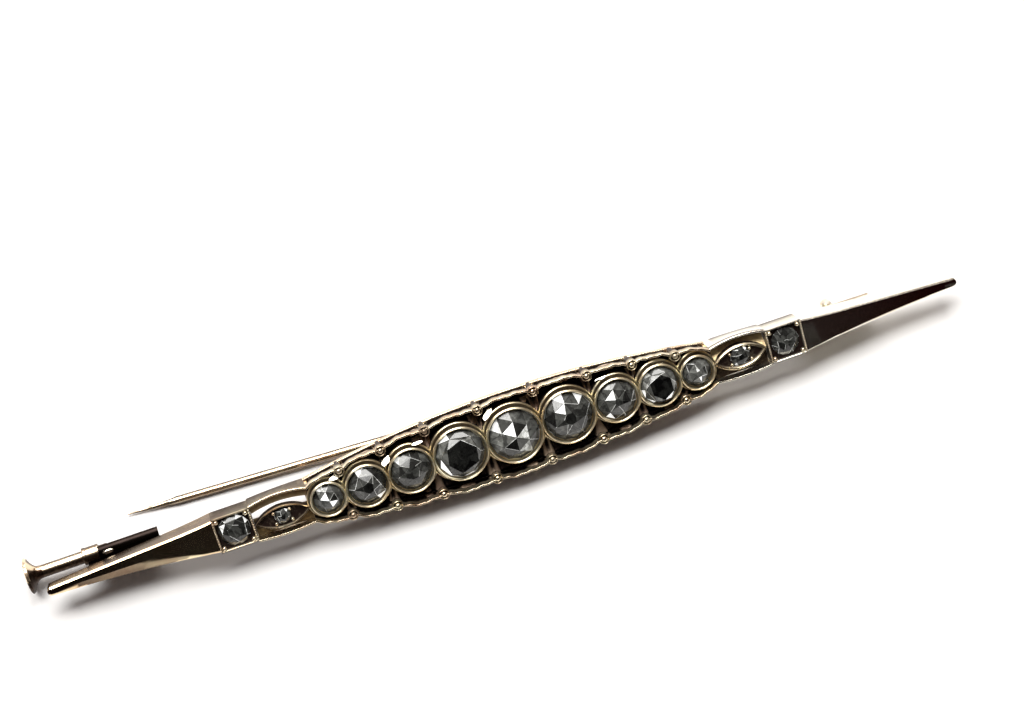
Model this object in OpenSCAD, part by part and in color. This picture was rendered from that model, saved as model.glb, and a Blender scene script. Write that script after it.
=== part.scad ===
// Bar brooch: nine round rose-cut stones in a pierced, scalloped gallery between two stone-set panels
// and two long tapered points, with a hinged pin and a sliding tube catch behind the bar.
//
// Every piece is drawn in the bar's own frame: x runs along the bar, y runs across its face and z comes
// out of the face, with z = 0 at the flat back. lay() then turns the brooch to where it lies by itself
// on a table, on the knob of its catch, on its hinge and on the lower edge of its back rim.

/* [Bar] */
// Length of the bar from point to point
bar_length = 72; // [68:1:80]
// Height of the setting from its back to the rims of the collets
bar_height = 2.3; // [2.1:0.1:2.8]

/* [Collets] */
// Outer radius of the middle collet
collet_r = 2.22; // [2.0:0.01:2.4]
// How far neighbouring collets run into each other
collet_overlap = 0.08; // [0.04:0.01:0.16]
// Wall of a collet round its stone
bezel_wall = 0.2; // [0.14:0.01:0.26]
// Height of a collet from its lower edge to its rim
collet_depth = 1.4; // [1.1:0.1:1.6]
// Gap between a stone and the metal round it
stone_gap = 0.02; // [0.01:0.01:0.05]
// Rise of the middle stone above its rim
stone_rise = 0.5; // [0.3:0.05:0.8]

/* [Gallery] */
// Half the width of the back rim at the middle of the bar
back_half_w = 3.0; // [2.8:0.05:3.3]
// Half the width of the back rim where the panels start
back_end_w = 1.5; // [1.4:0.05:1.7]
// Width of the back rim's strip
back_strip = 0.45; // [0.35:0.05:0.6]
// Thickness of the back rim's strip
back_thick = 0.45; // [0.35:0.05:0.6]
// How far the beads stand inside the edge of the back rim
bead_inset = 0.16; // [0.1:0.02:0.3]
// How far each scallop bows out beyond its beads
scallop_bow = 0.34; // [0.2:0.02:0.5]
// Width of the scalloped wire
scallop_wire = 0.26; // [0.2:0.02:0.36]
// Height of the scalloped strip
scallop_height = 0.55; // [0.4:0.05:0.8]
// Radius of the cup under a bead
bead_cup_r = 0.42; // [0.36:0.02:0.5]
// Radius of a bead
bead_r = 0.3; // [0.24:0.02:0.34]
// Thickness of the webs that carry the collets
web = 0.42; // [0.3:0.02:0.6]

/* [Panels] */
// Length of a pierced panel
pierced_length = 4.4; // [4.0:0.1:5.0]
// Length of a square panel
square_length = 2.9; // [2.6:0.1:3.4]
// Half the width of a square panel
square_half_w = 1.38; // [1.3:0.02:1.5]
// Height of the panels
panel_height = 2.1; // [1.9:0.05:2.2]
// Wall beside the slits of a pierced panel
panel_wall = 0.3; // [0.24:0.02:0.4]
// How far a pierced panel's sides bow out
panel_bow = 0.16; // [0.08:0.02:0.24]
// Half the width of the boat-shaped plate in a pierced panel
boat_half_w = 0.74; // [0.68:0.02:0.8]
// Radius of the stone in a boat-shaped plate
boat_stone_r = 0.5; // [0.4:0.02:0.54]
// Radius of the stone in a square panel
square_stone_r = 1.04; // [0.9:0.02:1.1]
// Radius of a grain at the corner of a square panel
grain_r = 0.16; // [0.12:0.01:0.18]
// Radius of the small grains in the milled edges
milgrain_r = 0.08; // [0.06:0.01:0.1]

/* [Points] */
// Radius of the end of a point
point_tip_r = 0.3; // [0.24:0.02:0.4]
// Height of a point at its end
point_tip_h = 1.2; // [1.0:0.1:1.5]
// Height of the underside of a point at its end
point_tip_lift = 0.45; // [0.2:0.05:0.6]

/* [Pin] */
// Radius of the pin's wire
pin_r = 0.3; // [0.25:0.01:0.35]
// Distance from the hinge to the pin's tip
pin_length = 55.4; // [54.6:0.1:56]
// Length of the ground point of the pin
pin_taper = 3.8; // [2:0.1:5]
// Distance of the hinge from the middle of the bar
hinge_x = 26.2; // [25.8:0.1:26.6]
// Distance of the hinge above the middle of the face
hinge_y = 0.25; // [0.2:0.05:0.35]
// Angle by which the hinge is set round the bar's length
hinge_cant = 28.5; // [20:0.5:34]
// Radius of the hinge's knuckles
knuckle_r = 0.5; // [0.46:0.01:0.56]
// Length of the three knuckles together
knuckle_length = 1.7; // [1.5:0.05:1.75]
// Radius of the hinge's rivet
rivet_r = 0.18; // [0.14:0.01:0.2]
// Gap between the pieces that turn or slide
play = 0.03; // [0.02:0.01:0.05]

/* [Catch] */
// Distance of the hinge's and the catch's axis behind the back
finding_depth = 0.95; // [0.9:0.05:1.1]
// Distance of the catch above the middle of the face
catch_y = 0.8; // [0.7:0.05:0.85]
// Radius of the sliding tube
slide_r = 0.48; // [0.46:0.01:0.54]
// Wall of the sliding tube
slide_wall = 0.12; // [0.1:0.01:0.12]
// Wall of the fixed tube
sleeve_wall = 0.13; // [0.12:0.01:0.18]
// Radius of the knob on the sliding tube
knob_r = 1.4; // [1.38:0.02:1.5]
// Length of the fixed tube
sleeve_length = 5.8; // [5.4:0.1:6.2]
// Length of its closed collar
collar_length = 1.2; // [1.0:0.1:1.4]
// Distance of its inner end from the middle of the bar
sleeve_x = 27.2; // [26.8:0.1:27.6]
// Length of the sliding tube, with its knob
slide_length = 6.2; // [6.0:0.1:6.6]
// Length of the sliding tube that stays in the collar
slide_in_collar = 1.9; // [1.6:0.1:2.2]

/* [Hidden] */
$fn = 48;
eps = 0.02;

// The collets, from the middle outwards: radius as a share of the middle one
RADIUS_SHARE = 0;
TABLE_SHARE = 1;
// radius share, table share of the stone's radius
collets = [
    [1.00, 0.22],
    [0.96, 0.34],
    [0.81, 0.24],
    [0.77, 0.46],
    [0.63, 0.30]
];
collet_count = len(collets);

function collet_radius(i) = collet_r * collets[abs(i)][RADIUS_SHARE];
function collet_place(i) =
    i == 0 ? 0 : collet_place(i - 1) + collet_radius(i - 1) + collet_radius(i) - collet_overlap;
function collet_x(i) = sign(i) * collet_place(abs(i));
function joint_x(i) = collet_place(i) + collet_radius(i) - collet_overlap / 2;

outer_collet = collet_count - 1;
pierced_x = collet_place(outer_collet) + collet_radius(outer_collet) - collet_overlap / 2;
gallery_end_x = pierced_x + web / 2;
square_x = pierced_x + pierced_length;
point_x = square_x + square_length;
point_length = bar_length / 2 - point_x;

// The back rim is an arc from end to end
rim_sag = back_half_w - back_end_w;
rim_radius = (pierced_x * pierced_x + rim_sag * rim_sag) / (2 * rim_sag);
function rim_y(x) = sqrt(rim_radius * rim_radius - x * x) - (rim_radius - back_half_w);
function bead_y(i) = rim_y(joint_x(i)) - bead_inset;

rail_z = bar_height - 0.1 - scallop_height;
collet_z = bar_height - collet_depth;
seat_drop = 0.5;
seat_z = bar_height - seat_drop;
seat_width = 0.3;
girdle_thick = 0.12;

// Hinge, catch and the way the brooch lies
line_z = -finding_depth;
sleeve_bore = slide_r + play;
sleeve_r = sleeve_bore + sleeve_wall;
collar_x = sleeve_x + sleeve_length;
slide_x = collar_x - slide_in_collar;
knob_x = slide_x + slide_length;
slide_travel = slide_x - sleeve_x - 0.4;

lie_arm_y = back_half_w + catch_y;
lie_angle = atan2(finding_depth, lie_arm_y) + asin(knob_r / norm([lie_arm_y, finding_depth]));
table_drop = back_half_w * sin(lie_angle);
function height_of(y, z) = y * sin(lie_angle) + z * cos(lie_angle);
pin_fall = -height_of(sin(hinge_cant), -cos(hinge_cant));
pin_shank = pin_length - pin_taper;
rest_gap = 0.01;
pin_slant = atan2(catch_y - hinge_y, hinge_x + sleeve_x);
pin_room = height_of(hinge_y + pin_shank * sin(pin_slant), line_z) + table_drop - pin_r - rest_gap;
pin_open = asin(pin_room / (pin_fall * pin_shank));

// The origin is under the middle of the box round the brooch
pin_reach = pin_length * sin(pin_open);
tip_y = hinge_y + pin_length * sin(pin_slant) + pin_reach * sin(hinge_cant);
tip_z = line_z - pin_reach * cos(hinge_cant);
pin_tip_r = 0.05;
scallop_y = bead_y(0) + scallop_bow + scallop_wire / 2;
box_far = tip_y * cos(lie_angle) - tip_z * sin(lie_angle) + pin_tip_r;
box_near = -scallop_y * cos(lie_angle) - (rail_z + scallop_height) * sin(lie_angle);
centre_x = (bar_length / 2 - knob_x) / 2;
centre_y = (box_far + box_near) / 2;

module lay() {
    translate([-centre_x, -centre_y, table_drop]) rotate([lie_angle, 0, 0]) children();
}

module both_ends() {
    children();
    mirror([1, 0, 0]) children();
}

module both_edges() {
    children();
    mirror([0, 1, 0]) children();
}

// The back rim: a boat-shaped strip between two arcs, as wide as the setting
module rim_outline(inset) {
    intersection() {
        translate([0, -(rim_radius - back_half_w)]) circle(r = rim_radius - inset, $fn = 360);
        translate([0, rim_radius - back_half_w]) circle(r = rim_radius - inset, $fn = 360);
        square([2 * pierced_x + 2 * eps, 4 * back_half_w], center = true);
    }
}

module back_rim() {
    linear_extrude(back_thick) difference() {
        rim_outline(0);
        rim_outline(back_strip);
    }
}

// One collet: a lower band, a neck and a thin rim, with a seat for the stone and an open back
module collet(radius) {
    bore = radius - bezel_wall;
    neck = radius - 0.09;
    band_z = collet_z + 0.45;
    neck_z = bar_height - 0.5;
    rim_z = bar_height - 0.3;
    rotate_extrude() polygon([
        [bore - seat_width, collet_z], [radius, collet_z], [radius, band_z], [neck, band_z + 0.1],
        [neck, neck_z], [radius, rim_z], [radius, bar_height - 0.08], [radius - 0.08, bar_height],
        [bore, bar_height], [bore, seat_z], [bore - seat_width, seat_z]
    ]);
}

module collet_row() {
    for (i = [-outer_collet : outer_collet])
        translate([collet_x(i), 0, 0]) collet(collet_radius(i));
}

// What is cut away inside each collet, so that a neighbour's wall doesn't run into the stone
module collet_bores() {
    for (i = [-outer_collet : outer_collet]) translate([collet_x(i), 0, 0]) {
        bore = collet_radius(i) - bezel_wall;
        translate([0, 0, seat_z]) cylinder(r = bore, h = bar_height);
        translate([0, 0, -eps]) cylinder(r = bore - seat_width, h = bar_height);
    }
}

// A scallop: the arc of wire from one bead to the next, bowed outwards
module scallop(x0, y0, x1, y1, bow) {
    chord = norm([x1 - x0, y1 - y0]);
    radius = (chord * chord / 4 + bow * bow) / (2 * bow);
    translate([(x0 + x1) / 2, (y0 + y1) / 2, rail_z]) rotate([0, 0, atan2(y1 - y0, x1 - x0)])
        linear_extrude(scallop_height) intersection() {
            translate([0, bow - radius]) difference() {
                circle(r = radius + scallop_wire / 2, $fn = 96);
                circle(r = radius - scallop_wire / 2, $fn = 96);
            }
            translate([-chord / 2, -scallop_wire]) square([chord, bow + 2 * scallop_wire]);
        }
}

// One edge of the gallery, from the middle outwards: scallops, with a cup and a bead where they meet
module gallery_edge() {
    for (i = [0 : outer_collet]) {
        last = i == outer_collet;
        x1 = last ? pierced_x : joint_x(i);
        y1 = last ? rim_y(pierced_x) - scallop_wire : bead_y(i);
        scallop(i == 0 ? -joint_x(0) : joint_x(i - 1), i == 0 ? bead_y(0) : bead_y(i - 1), x1, y1, scallop_bow);
        if (!last) translate([x1, y1, 0]) {
            cylinder(r = bead_cup_r - 0.1, h = rail_z + scallop_height);
            translate([0, 0, rail_z - 0.1]) cylinder(r = bead_cup_r, h = scallop_height + 0.1);
            translate([0, 0, rail_z + scallop_height]) sphere(r = bead_r);
        }
    }
}

module gallery() {
    both_ends() both_edges() gallery_edge();
}

// The webs run across under the joints of the collets, from bead to bead
module webs() {
    both_ends() for (i = [0 : outer_collet - 1])
        translate([joint_x(i) - web / 2, -bead_y(i), collet_z + 0.1])
            cube([web, 2 * bead_y(i), 0.6]);
}

// A pierced panel: bowed sides, two slits and a boat-shaped plate with a small stone
boat_x = pierced_x + pierced_length / 2;
boat_z = panel_height - 0.65;
boat_thick = 0.5;
boat_half_l = pierced_length / 2 - 0.1;

module boat_outline(inset) {
    radius = (boat_half_l * boat_half_l + boat_half_w * boat_half_w) / (2 * boat_half_w);
    intersection() {
        translate([0, boat_half_w - radius]) circle(r = radius - inset, $fn = 96);
        translate([0, radius - boat_half_w]) circle(r = radius - inset, $fn = 96);
    }
}

module panel_side() {
    half = pierced_length / 2;
    radius = (half * half + panel_bow * panel_bow) / (2 * panel_bow);
    intersection() {
        translate([0, back_end_w + panel_bow - radius]) difference() {
            circle(r = radius, $fn = 360);
            circle(r = radius - panel_wall, $fn = 360);
        }
        translate([-half - eps, 0]) square([pierced_length + 2 * eps, 2 * back_half_w]);
    }
}

module pierced_panel() {
    translate([boat_x, 0, 0]) {
        both_edges() linear_extrude(panel_height) panel_side();
        translate([-pierced_length / 2 - web / 2, -back_end_w + 0.1, 0])
            cube([web, 2 * back_end_w - 0.2, collet_z + 0.4]);
        translate([0, 0, boat_z]) {
            linear_extrude(boat_thick) boat_outline(0);
            translate([-pierced_length / 2 - bezel_wall * 0.6, -0.2, 0])
                cube([pierced_length + bezel_wall * 0.6, 0.4, boat_thick - 0.1]);
        }
    }
}

module boat_seat() {
    translate([boat_x, 0, boat_z + boat_thick - 0.3]) cylinder(r = boat_stone_r + stone_gap, h = 1);
    translate([boat_x, 0, 0]) cylinder(r = boat_stone_r - 0.18, h = bar_height);
}

// A square panel: a block with a round stone, four grains that hold it and a milled edge at each end
module square_panel() {
    middle = square_x + square_length / 2;
    translate([square_x, -square_half_w, 0]) cube([square_length, 2 * square_half_w, panel_height]);
    for (sx = [-1, 1], sy = [-1, 1])
        translate([
            middle + sx * (square_length / 2 - 0.42),
            sy * (square_half_w - 0.28), panel_height
        ]) sphere(r = grain_r);
    pitch = 2.2 * milgrain_r;
    steps = floor((square_half_w - milgrain_r) / pitch);
    for (edge = [square_x + 0.14, point_x - 0.14], k = [-steps : steps])
        translate([edge, k * pitch, panel_height]) sphere(r = milgrain_r, $fn = 16);
}

module square_seat() {
    middle = square_x + square_length / 2;
    translate([middle, 0, panel_height - 0.45]) cylinder(r = square_stone_r + stone_gap, h = 1);
    translate([middle, 0, -eps]) cylinder(r = square_stone_r - 0.25, h = bar_height);
}

// A point: sections lofted from the square panel to the rounded end
ALONG = 0;
WIDTH = 1;
// share of the point's length, share of its half width
point_sections = [
    [0.00, 1.00], [0.08, 0.87], [0.20, 0.76], [0.36, 0.66], [0.60, 0.50], [0.85, 0.34], [0.97, 0.25]
];

module point() {
    half_w = square_half_w - 0.08;
    top_0 = panel_height - 0.05;
    top_1 = point_tip_lift + point_tip_h;
    count = len(point_sections);
    section = function (along, half) let (
        x = point_x - 0.1 + along * (point_length + 0.1),
        top = top_0 + (top_1 - top_0) * along,
        bottom = point_tip_lift * along,
        bevel = 0.42 * half,
        shoulder = top - 0.3 * half
    ) [
        [x, -half, bottom], [x, half, bottom], [x, half, shoulder],
        [x, half - bevel, top], [x, bevel - half, top], [x, -half, shoulder]
    ];
    rings = concat(
        [for (s = point_sections) section(s[ALONG], max(half_w * s[WIDTH], point_tip_r))],
        [section(1, point_tip_r * 0.6)]
    );
    sides = 6;
    points = [for (ring = rings, p = ring) p];
    walls = [
        for (r = [0 : count - 1], k = [0 : sides - 1])
            let (a = r * sides + k, b = r * sides + (k + 1) % sides)
                each [[a, a + sides, b], [b, a + sides, b + sides]]
    ];
    polyhedron(points, concat([[for (k = [0 : sides - 1]) k]], walls,
        [[for (k = [sides - 1 : -1 : 0]) count * sides + k]]));
}

// The hinge's fixed part, drawn with its knuckles along y, then canted round the bar's length
knuckle_gap = play;
eye_width = knuckle_length / 3;
hinge_plate_l = 5.0;

module hinge_frame() {
    translate([hinge_x, hinge_y, line_z]) rotate([0, 0, -pin_slant]) rotate([hinge_cant, 0, 0]) children();
}

module along_y(radius, y0, y1) {
    translate([0, y1, 0]) rotate([90, 0, 0]) cylinder(r = radius, h = y1 - y0);
}

module hinge_seat() {
    hinge_frame() for (side = [-1, 1]) {
        inner = side * (eye_width / 2 + knuckle_gap);
        outer = side * knuckle_length / 2;
        along_y(knuckle_r, min(inner, outer), max(inner, outer));
        translate([-knuckle_r, min(inner, outer), 0])
            cube([2 * knuckle_r, abs(outer - inner), knuckle_r + 0.2]);
    }
    hinge_frame() translate([-2.6, -knuckle_length / 2, knuckle_r + play])
        cube([hinge_plate_l, knuckle_length, 0.3]);
    translate([hinge_x - 1.9, hinge_y - 0.5, line_z + knuckle_r + 0.1])
        cube([3.4, 0.9, finding_depth - knuckle_r + 0.3]);
}

module hinge_bore() {
    hinge_frame() along_y(rivet_r + play, -knuckle_length, knuckle_length);
}

// The fixed tube of the catch: a closed collar, then a channel that is open where the pin comes in
module sleeve() {
    translate([-collar_x, catch_y, line_z]) rotate([0, 90, 0]) cylinder(r = sleeve_r, h = sleeve_length);
    translate([-collar_x + 0.1, catch_y - 0.75, line_z + 0.3])
        cube([sleeve_length - 0.3, 0.5, finding_depth - 0.3 + point_tip_lift + 0.2]);
}

module sleeve_bores() {
    translate([-collar_x - eps, catch_y, line_z]) rotate([0, 90, 0])
        cylinder(r = sleeve_bore, h = sleeve_length + 2 * eps);
    translate([-collar_x + collar_length, catch_y, line_z]) rotate([hinge_cant, 0, 0])
        translate([0, -2, -2.2]) cube([sleeve_length, 4, 2.2]);
}

// The mount is made in five pieces that are soldered face to face, where the panels and the points begin
module inwards_of(x) {
    translate([0, -5, -5]) cube([x, 10, 10]);
}

module gallery_mount() {
    color("goldenrod") lay() difference() {
        union() {
            back_rim();
            collet_row();
            gallery();
            webs();
            both_ends() intersection() {
                pierced_panel();
                inwards_of(gallery_end_x);
            }
        }
        collet_bores();
    }
}

module panel(side) {
    color("darkkhaki") lay() mirror([side < 0 ? 1 : 0, 0, 0]) difference() {
        union() {
            pierced_panel();
            square_panel();
        }
        inwards_of(gallery_end_x);
        boat_seat();
        square_seat();
    }
}

module right_point() {
    color("goldenrod") lay() difference() {
        union() {
            point();
            hinge_seat();
        }
        inwards_of(point_x);
        hinge_bore();
    }
}

module left_point() {
    color("goldenrod") lay() difference() {
        union() {
            mirror([1, 0, 0]) point();
            sleeve();
        }
        mirror([1, 0, 0]) inwards_of(point_x);
        sleeve_bores();
    }
}

// A rose-cut stone: a flat back, a girdle of twelve corners, a ring of six and a six-sided table
module rose_cut(radius, rise, table, turn) {
    mid_r = radius * (1 + table) * 0.56;
    mid_z = girdle_thick + rise * 0.62;
    points = concat(
        [for (k = [0 : 11]) [radius * cos(30 * k), radius * sin(30 * k), 0]],
        [for (k = [0 : 11]) [radius * cos(30 * k), radius * sin(30 * k), girdle_thick]],
        [for (k = [0 : 5]) [mid_r * cos(60 * k + 30), mid_r * sin(60 * k + 30), mid_z]],
        [for (k = [0 : 5]) [table * radius * cos(60 * k), table * radius * sin(60 * k), girdle_thick + rise]]
    );
    next = function (k, n) (k + 1) % n;
    faces = concat(
        [[for (k = [0 : 11]) k]],
        [for (k = [0 : 11]) each [[k, 12 + k, next(k, 12)], [next(k, 12), 12 + k, 12 + next(k, 12)]]],
        [for (k = [0 : 5]) let (g = 2 * k, g1 = 2 * k + 1, g2 = (2 * k + 2) % 12, m = 24 + k) each [
            [12 + g, m, 12 + g1],
            [12 + g1, m, 12 + g2],
            [12 + g2, m, 24 + next(k, 6)]
        ]],
        [for (k = [0 : 5]) each [
            [24 + k, 30 + k, 30 + next(k, 6)],
            [24 + k, 30 + next(k, 6), 24 + next(k, 6)]
        ]],
        [[for (k = [5 : -1 : 0]) 30 + k]]
    );
    rotate([0, 0, turn]) polyhedron(points, faces);
}

module main_stone(number) {
    i = number - 1 - outer_collet;
    radius = collet_radius(i) - bezel_wall - stone_gap;
    color("gainsboro") lay() translate([collet_x(i), 0, seat_z + stone_gap])
        rose_cut(radius, seat_drop - girdle_thick + stone_rise * collets[abs(i)][RADIUS_SHARE],
            collets[abs(i)][TABLE_SHARE], 11 * number);
}

module panel_stone(side) {
    color("gainsboro") lay() translate([side * (square_x + square_length / 2), 0, panel_height - 0.43])
        rose_cut(square_stone_r, 0.6, 0.3, 20);
}

module boat_stone(side) {
    color("gainsboro") lay() translate([side * boat_x, 0, boat_z + boat_thick - 0.28])
        rose_cut(boat_stone_r, 0.34, 0.3, 10);
}

module hinge_rivet() {
    head_r = rivet_r + 0.12;
    head = 0.12;
    color("darkgoldenrod") lay() hinge_frame() {
        along_y(rivet_r, -knuckle_length / 2 - play - eps, knuckle_length / 2 + play + eps);
        for (side = [-1, 1]) translate([0, side * (knuckle_length / 2 + play + head / 2), 0])
            along_y(head_r, -head / 2, head / 2);
    }
}

// The pin: an eye on the rivet, a straight wire and a ground point
module brooch_pin() {
    color("goldenrod") lay() hinge_frame() rotate([0, -pin_open, 0]) difference() {
        union() {
            along_y(knuckle_r, -eye_width / 2, eye_width / 2);
            translate([-pin_shank, 0, 0]) rotate([0, 90, 0]) cylinder(r = pin_r, h = pin_shank);
            translate([-pin_length, 0, 0]) rotate([0, 90, 0])
                cylinder(r1 = pin_tip_r, r2 = pin_r, h = pin_taper);
        }
        along_y(rivet_r + play, -knuckle_length, knuckle_length);
    }
}

// The sliding tube with its flared knob
module catch_slide() {
    bore = slide_r - slide_wall;
    flare = 0.9;
    knob = 0.28;
    color("goldenrod") lay() translate([-knob_x, catch_y, line_z]) rotate([0, 90, 0])
        rotate_extrude() polygon([
            [0, 0], [knob_r - 0.08, 0], [knob_r, 0.08], [knob_r, knob - 0.06], [knob_r - 0.1, knob],
            [slide_r + 0.28, knob + 0.14], [slide_r + 0.1, knob + 0.34], [slide_r, flare],
            [slide_r, slide_length], [bore, slide_length], [bore, flare], [0, flare]
        ]);
}

gallery_mount();
panel(-1);  // left_panel
panel(1);  // right_panel
left_point();
right_point();
main_stone(1);  // main_stone_1
main_stone(2);  // main_stone_2
main_stone(3);  // main_stone_3
main_stone(4);  // main_stone_4
main_stone(5);  // main_stone_5
main_stone(6);  // main_stone_6
main_stone(7);  // main_stone_7
main_stone(8);  // main_stone_8
main_stone(9);  // main_stone_9
panel_stone(-1);  // panel_stone_left
panel_stone(1);  // panel_stone_right
boat_stone(-1);  // boat_stone_left
boat_stone(1);  // boat_stone_right
hinge_rivet();
brooch_pin();
catch_slide();
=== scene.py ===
# %% [markdown]
# # A bar brooch, one piece at a time
#
# The brooch is a row of nine old rose-cut stones in a pierced gold gallery, between two panels and two long
# tapered points, with a hinged pin and a sliding tube catch behind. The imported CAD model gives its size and
# place. Each step below makes one part of what is seen, and says why it is made that way.

import math
import random

import bmesh
import bpy
import numpy as np
from mathutils import Matrix, Vector


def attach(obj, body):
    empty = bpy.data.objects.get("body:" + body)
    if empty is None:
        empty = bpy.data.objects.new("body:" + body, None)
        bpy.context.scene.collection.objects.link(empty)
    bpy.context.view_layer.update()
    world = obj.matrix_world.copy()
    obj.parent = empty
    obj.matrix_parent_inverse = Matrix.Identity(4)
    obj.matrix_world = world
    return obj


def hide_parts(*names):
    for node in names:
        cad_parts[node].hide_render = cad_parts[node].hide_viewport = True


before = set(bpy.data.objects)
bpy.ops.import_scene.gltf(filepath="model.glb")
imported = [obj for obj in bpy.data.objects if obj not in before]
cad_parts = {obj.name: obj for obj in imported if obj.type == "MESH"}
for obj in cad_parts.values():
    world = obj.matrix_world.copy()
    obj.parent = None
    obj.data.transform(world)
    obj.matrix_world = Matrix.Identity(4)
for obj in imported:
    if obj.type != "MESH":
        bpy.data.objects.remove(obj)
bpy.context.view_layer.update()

# %% [markdown]
# ## The bar's own frame
#
# A goldsmith works on the bar lying flat: x along it, y across its face and z out of its face, in
# millimetres. The finished brooch doesn't lie flat, because its catch, its hinge and its pin are behind it.
# It leans on the knob of the catch and on the lower edge of its back rim. So everything is drawn flat
# first, with numpy, and `lay` then turns whole arrays of points into the place where the brooch rests on
# the table.

# %% Sizes of the bar in millimetres
TAU = 2 * math.pi
BAR_HALF, BAR_HEIGHT = 36.0, 2.3
# outer radii of the middle collet and of those beside it, outwards
COLLETS = 2.22 * np.array([1.00, 0.96, 0.81, 0.77, 0.63])
OVERLAP = 0.08
BACK_HALF_W, BACK_END_W = 3.0, 1.5
PIERCED, SQUARE = 4.4, 2.9
LINE_Z, CATCH_Y, HINGE_Y, HINGE_X = -0.95, 0.8, 0.25, 26.2
KNOB_R, KNOB_X = 1.4, 37.3
# how far the middle of the brooch's box lies off the bar's line
BOX_MIDDLE_Y = -0.18074

# %% The turn onto the table
reach = math.hypot(BACK_HALF_W + CATCH_Y, LINE_Z)
LEAN = math.atan2(-LINE_Z, BACK_HALF_W + CATCH_Y) + math.asin(KNOB_R / reach)
ON_TABLE = np.array([(KNOB_X - BAR_HALF) / 2, -BOX_MIDDLE_Y, BACK_HALF_W * math.sin(LEAN)])


def turned_about(points, axis, angle):
    """Points turned about x, y or z: the other two, a and b, become a cos - b sin and a sin + b cos."""
    turned = np.array(points, float)
    first, second = {"x": (1, 2), "y": (2, 0), "z": (0, 1)}[axis]
    a, b = turned[..., first].copy(), turned[..., second].copy()
    turned[..., first] = a * math.cos(angle) - b * math.sin(angle)
    turned[..., second] = a * math.sin(angle) + b * math.cos(angle)
    return turned


def lay(points):
    """Bench millimetres to world metres: turned by LEAN about x, then moved over the origin."""
    return (turned_about(points, "x", LEAN) + ON_TABLE) / 1000


def on_bench(points):
    """World metres to bench millimetres, the other way round."""
    return turned_about(np.asarray(points) * 1000 - ON_TABLE, "x", -LEAN)


print("the face leans by", round(math.degrees(LEAN), 2), "degrees")

# %% Where the collets, the beads and the panels stand
BEAD_INSET = 0.16
place = np.concatenate([[0], np.cumsum(COLLETS[:-1] + COLLETS[1:] - OVERLAP)])
joint = place + COLLETS - OVERLAP / 2
PIERCED_X = joint[4]
SQUARE_X = PIERCED_X + PIERCED
POINT_X = SQUARE_X + SQUARE
PANEL_MIDDLE, SQUARE_MIDDLE = PIERCED_X + PIERCED / 2, SQUARE_X + SQUARE / 2
sag = BACK_HALF_W - BACK_END_W
RIM_RADIUS = (PIERCED_X ** 2 + sag ** 2) / (2 * sag)
SIDES, EDGES = ((-1, "left"), (1, "right")), (("upper", 1), ("lower", -1))
# number, radius and place of each collet, from left to right
ROW = [(i + 5, COLLETS[abs(i)], math.copysign(place[abs(i)], i)) for i in range(-4, 5)]


def rim_y(x):
    """Height of the back rim's arc above the middle line at x."""
    return np.sqrt(RIM_RADIUS ** 2 - np.asarray(x, float) ** 2) - (RIM_RADIUS - BACK_HALF_W)


bead_y = rim_y(joint[:4]) - BEAD_INSET
print("collets at", place.round(2), "panels from", round(PIERCED_X, 2), "points from", round(POINT_X, 2))

# %% [markdown]
# ## Camera, floor and light
#
# The camera stands where the photograph's camera stood. It was found by matching the stones, the two tips,
# the pin and the catch, and its long lens keeps the bar nearly straight. The floor is white paper. Gold is a
# mirror, so it shows the room more than itself: one strong window light above the picture makes the thin
# bright lines, and a dark ceiling, with shade painted on their faces, makes the brown tops of the points.

# %% Camera
CAMERA_PLACE = Vector((-13.998, -37.781, 146.933)) / 1000
PICTURE_RIGHT, PICTURE_UP = Vector((0.9414, -0.3373, 0.0081)), Vector((0.3194, 0.8987, 0.3004))
PICTURE_WIDTH, FOCAL_LENGTH, SENSOR = 1024, 2000, 36.0  # pixels, pixels and millimetres
camera = bpy.data.objects.new("camera", bpy.data.cameras.new("camera"))
bpy.context.scene.collection.objects.link(camera)
camera.data.sensor_width, camera.data.lens = SENSOR, SENSOR * FOCAL_LENGTH / PICTURE_WIDTH
right, up = PICTURE_RIGHT.normalized(), PICTURE_UP.normalized()
back = right.cross(up).normalized()
turn = Matrix((right, back.cross(right), back)).transposed().to_4x4()
camera.matrix_world = Matrix.Translation(CAMERA_PLACE) @ turn
camera.data.clip_start, camera.data.clip_end = 0.01, 10
bpy.context.scene.camera = camera
print("camera", round(camera.location.length * 1000), "mm from the brooch")

# %% A short way to write shader nodes
def fill(node, **inputs):
    """Links or sets a node's inputs, which go by name with _ for a space, or by order as i0, i1."""
    for key, value in inputs.items():
        by_order = key[0] == "i" and key[1:].isdigit()
        socket = node.inputs[int(key[1:]) if by_order else key.replace("_", " ")]
        if isinstance(value, bpy.types.NodeSocket):
            node.id_data.links.new(value, socket)
        else:
            socket.default_value = value
    return node


def graph(owner):
    """The shader of a material, or the background of the world, and two functions that add nodes."""
    owner.use_nodes = True
    nodes = owner.node_tree.nodes

    def add(kind, output, settings=None, **inputs):
        """Adds a node and gives one of its outputs."""
        node = nodes.new("ShaderNode" + kind)
        for key, value in (settings or {}).items():
            setattr(node, key, value)
        return fill(node, **inputs).outputs[output]

    def calculate(operation, *values, clamp=False):
        """The result of a Math node, kept between 0 and 1 if clamp is set."""
        numbered = {f"i{order}": value for order, value in enumerate(values)}
        return add("Math", "Value", {"operation": operation, "use_clamp": clamp}, **numbered)

    return nodes.get("Principled BSDF") or nodes["Background"], add, calculate


def ramp(add, source, stops):
    """A colour ramp with (position, colour) stops."""
    colours = add("ValToRGB", "Color", Fac=source)
    elements = colours.node.color_ramp.elements
    while len(elements) < len(stops):
        elements.new(0.5)
    for element, (position, colour) in zip(elements, stops):
        element.position, element.color = position, (*colour, 1)
    return colours


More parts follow.
